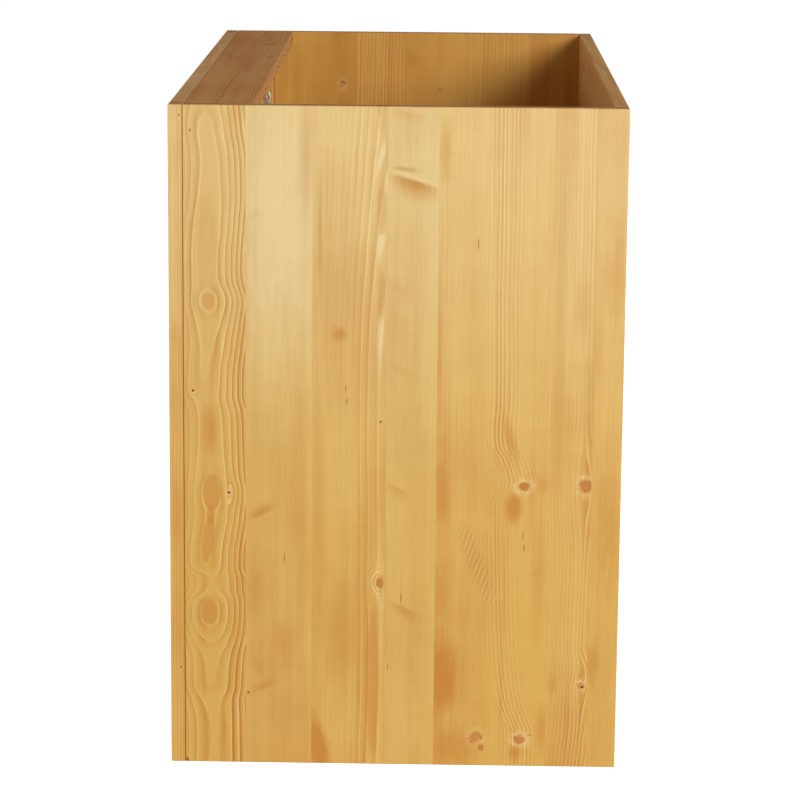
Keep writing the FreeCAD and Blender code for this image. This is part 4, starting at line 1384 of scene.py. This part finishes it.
def makeShelfPins():
    low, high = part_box("shelf_pins")
    radius, reach, sink = pinShape["radius"], pinShape["reach"], pinShape["sink"]
    wide = radius + pinShape["collar"]
    height = (low.z + high.z) / 2
    corners = [
        (smallPole, -sink), (radius - 0.3 * mm, -sink), (radius, -sink + 0.6 * mm), (radius, 0.0),
        (wide, 0.0), (wide, 0.7 * mm), (radius, 0.9 * mm), (radius, reach - 0.8 * mm),
        (radius - 0.8 * mm, reach), (smallPole, reach),
    ]
    profile = rounded(corners, pinShape["edge"], 2)
    builder = bmesh.new()
    for inner, way in ((low.x + sink, 1), (high.x - sink, -1)):
        for y in (low.y + radius, high.y - radius):
            loftRings(builder, turnedRings(profile, (inner, y, height), (way, 0, 0), pinShape["sides"]))
    mesh = finishMesh(builder, "turned_shelf_pins")
    newPiece("turned_shelf_pins", mesh, "carcass", zinc, ["shelf_pins"], 35)


# the knob's pan-headed screw
panHead = {"shank": 2.0 * mm, "height": 2.4 * mm, "point": 1.2 * mm, "recess": 0.9 * mm, "crown": 0.1 * mm,
           "edge": 0.5 * mm, "sides": 32}


def makeKnobScrew():
    low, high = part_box("knob_screw")
    head = (high.x - low.x) / 2
    shank, height = panHead["shank"], panHead["height"]
    length = high.y - low.y
    crown, recess = length - panHead["crown"], length - panHead["recess"]
    centre = ((low.x + high.x) / 2, low.y, (low.z + high.z) / 2)
    corners = [
        (smallPole, 0.0), (shank * 0.6, 0.0), (shank, panHead["point"]), (shank, length - height),
        (head, length - height), (head, length - height * 0.55), (head * 0.7, crown), (head * 0.45, crown),
        (head * 0.35, recess), (smallPole, recess),
    ]
    builder = bmesh.new()
    profile = rounded(corners, panHead["edge"], 3)
    loftRings(builder, turnedRings(profile, centre, (0, 1, 0), panHead["sides"]))
    mesh = finishMesh(builder, "pan_head_screw")
    newPiece("pan_head_screw", mesh, "door", zinc, ["knob_screw"], 35)


# felt pads with soft edges and a fuzzy face; fuzz is in millimetres
padShape = {"height": 20 * mm, "softEdge": 0.7 * mm, "cuts": 3, "fuzz": (-0.06, 0.02), "seed": 5}


def makeFeltPads():
    low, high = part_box("door_pads")
    builder = bmesh.new()
    size = Vector((high.x - low.x, high.y - low.y, padShape["height"]))
    for bottom in (low.z, high.z - padShape["height"]):
        middle = Vector((low.x, low.y, bottom)) + size / 2
        block = bmesh.ops.create_cube(builder, size=1.0)["verts"]
        place = Matrix.Translation(middle) @ Matrix.Diagonal((*size, 1.0))
        bmesh.ops.transform(builder, matrix=place, verts=block)
    roundEdges(builder, builder.edges[:], padShape["softEdge"], 3, 0.6)
    bmesh.ops.subdivide_edges(builder, edges=builder.edges[:], cuts=padShape["cuts"], use_grid_fill=True)
    draw = random.Random(padShape["seed"])
    inOrder = sorted(builder.verts, key=lambda vert: [round(part, 6) for part in vert.co])
    for vert in inOrder:  # by place, because a bevel numbers its points differently each time
        vert.co += Vector([draw.uniform(*padShape["fuzz"]) * mm for axis in range(3)])
        vert.co = Vector([min(max(vert.co[k], low[k]), high[k]) for k in range(3)])
    pads = newPiece("felt_pads", finishMesh(builder, "felt_pads"), "carcass", felt, ["door_pads"], 60)


makeShelfPins()
makeKnobScrew()
makeFeltPads()
print("pins, knob screw and felt pads made")

# floor, light and camera
white = (1.0, 1.0, 1.0, 1.0)
studio = {
    "floorSize": 60.0, "floorTone": (0.8, 0.8, 0.8, 1.0), "floorGlow": 0.85, "skyLight": 0.18,
    "key": {"at": (5.6, 3.5, 2.75), "aim": (0.2, 0.0, 0.45), "size": 2.3, "power": 333.0},
    "fill": {"at": (-0.3, -4.3, 0.95), "aim": (0.0, 0.0, 0.45), "size": 1.8, "power": 80.0},
    "back": {"at": (-4.2, 2.6, 1.1), "aim": (0.0, 0.0, 0.4), "size": 2.0, "power": 85.0},
}


def whiteToCamera(tree):  # one for camera, mirror and glass rays
    path = addNode(tree, "ShaderNodeLightPath").outputs
    return larger(larger(path["Is Camera Ray"], path["Is Glossy Ray"]), path["Is Transmission Ray"])


def makeFloor():
    half = studio["floorSize"] / 2
    corners = [(-half, -half, 0), (half, -half, 0), (half, half, 0), (-half, half, 0)]
    mesh = bpy.data.meshes.new("studio_floor")
    mesh.from_pydata(corners, [], [(0, 1, 2, 3)])
    floor = bpy.data.objects.new("studio_floor", mesh)
    scene.collection.objects.link(floor)
    floor.location.z = -0.3 * mm
    material, tree, shader = newMaterial("paleFloor")
    glow = times(whiteToCamera(tree), studio["floorGlow"])
    fill(shader, {"Base Color": studio["floorTone"], "Roughness": 0.9, "Specular IOR Level": 0.0,
                  "Emission Color": white, "Emission Strength": glow})
    mesh.materials.append(material)


def makeSky():
    world = bpy.data.worlds.new("studio_sky")
    world.use_nodes = True
    scene.world = world
    tree = world.node_tree
    strength = timesPlus(whiteToCamera(tree), 1.0 - studio["skyLight"], studio["skyLight"])
    fill(tree.nodes["Background"], {"Color": white, "Strength": strength})


def aimed(settings):  # where it stands, looking at its aim
    place = Vector(settings["at"])
    look = (Vector(settings["aim"]) - place).to_track_quat("-Z", "Y").to_matrix().to_4x4()
    return Matrix.Translation(place) @ look


def makeLamp(name):
    lamp = bpy.data.lights.new(name, "AREA")
    lamp.shape = "SQUARE"
    lamp.size = studio[name]["size"]
    lamp.energy = studio[name]["power"]
    holder = bpy.data.objects.new(name, lamp)
    scene.collection.objects.link(holder)
    holder.matrix_world = aimed(studio[name])


camera = {"at": (4.0652, 0.0651, 1.2700), "aim": (0.5348, -0.0019, 0.5689), "roll": 0.457, "lens": 130.87,
          "sensor": 36.0, "shift": (0.02, -0.08)}


def makeCamera():
    lens = bpy.data.cameras.new("photoView")
    lens.lens = camera["lens"]
    lens.sensor_width = camera["sensor"]
    lens.shift_x, lens.shift_y = camera["shift"]
    holder = bpy.data.objects.new("photoView", lens)
    scene.collection.objects.link(holder)
    holder.matrix_world = aimed(camera) @ Matrix.Rotation(math.radians(camera["roll"]), 4, "Z")
    scene.camera = holder


makeFloor()
makeSky()
for lampName in ("key", "fill", "back"):
    makeLamp(lampName)
makeCamera()
print("studio set")
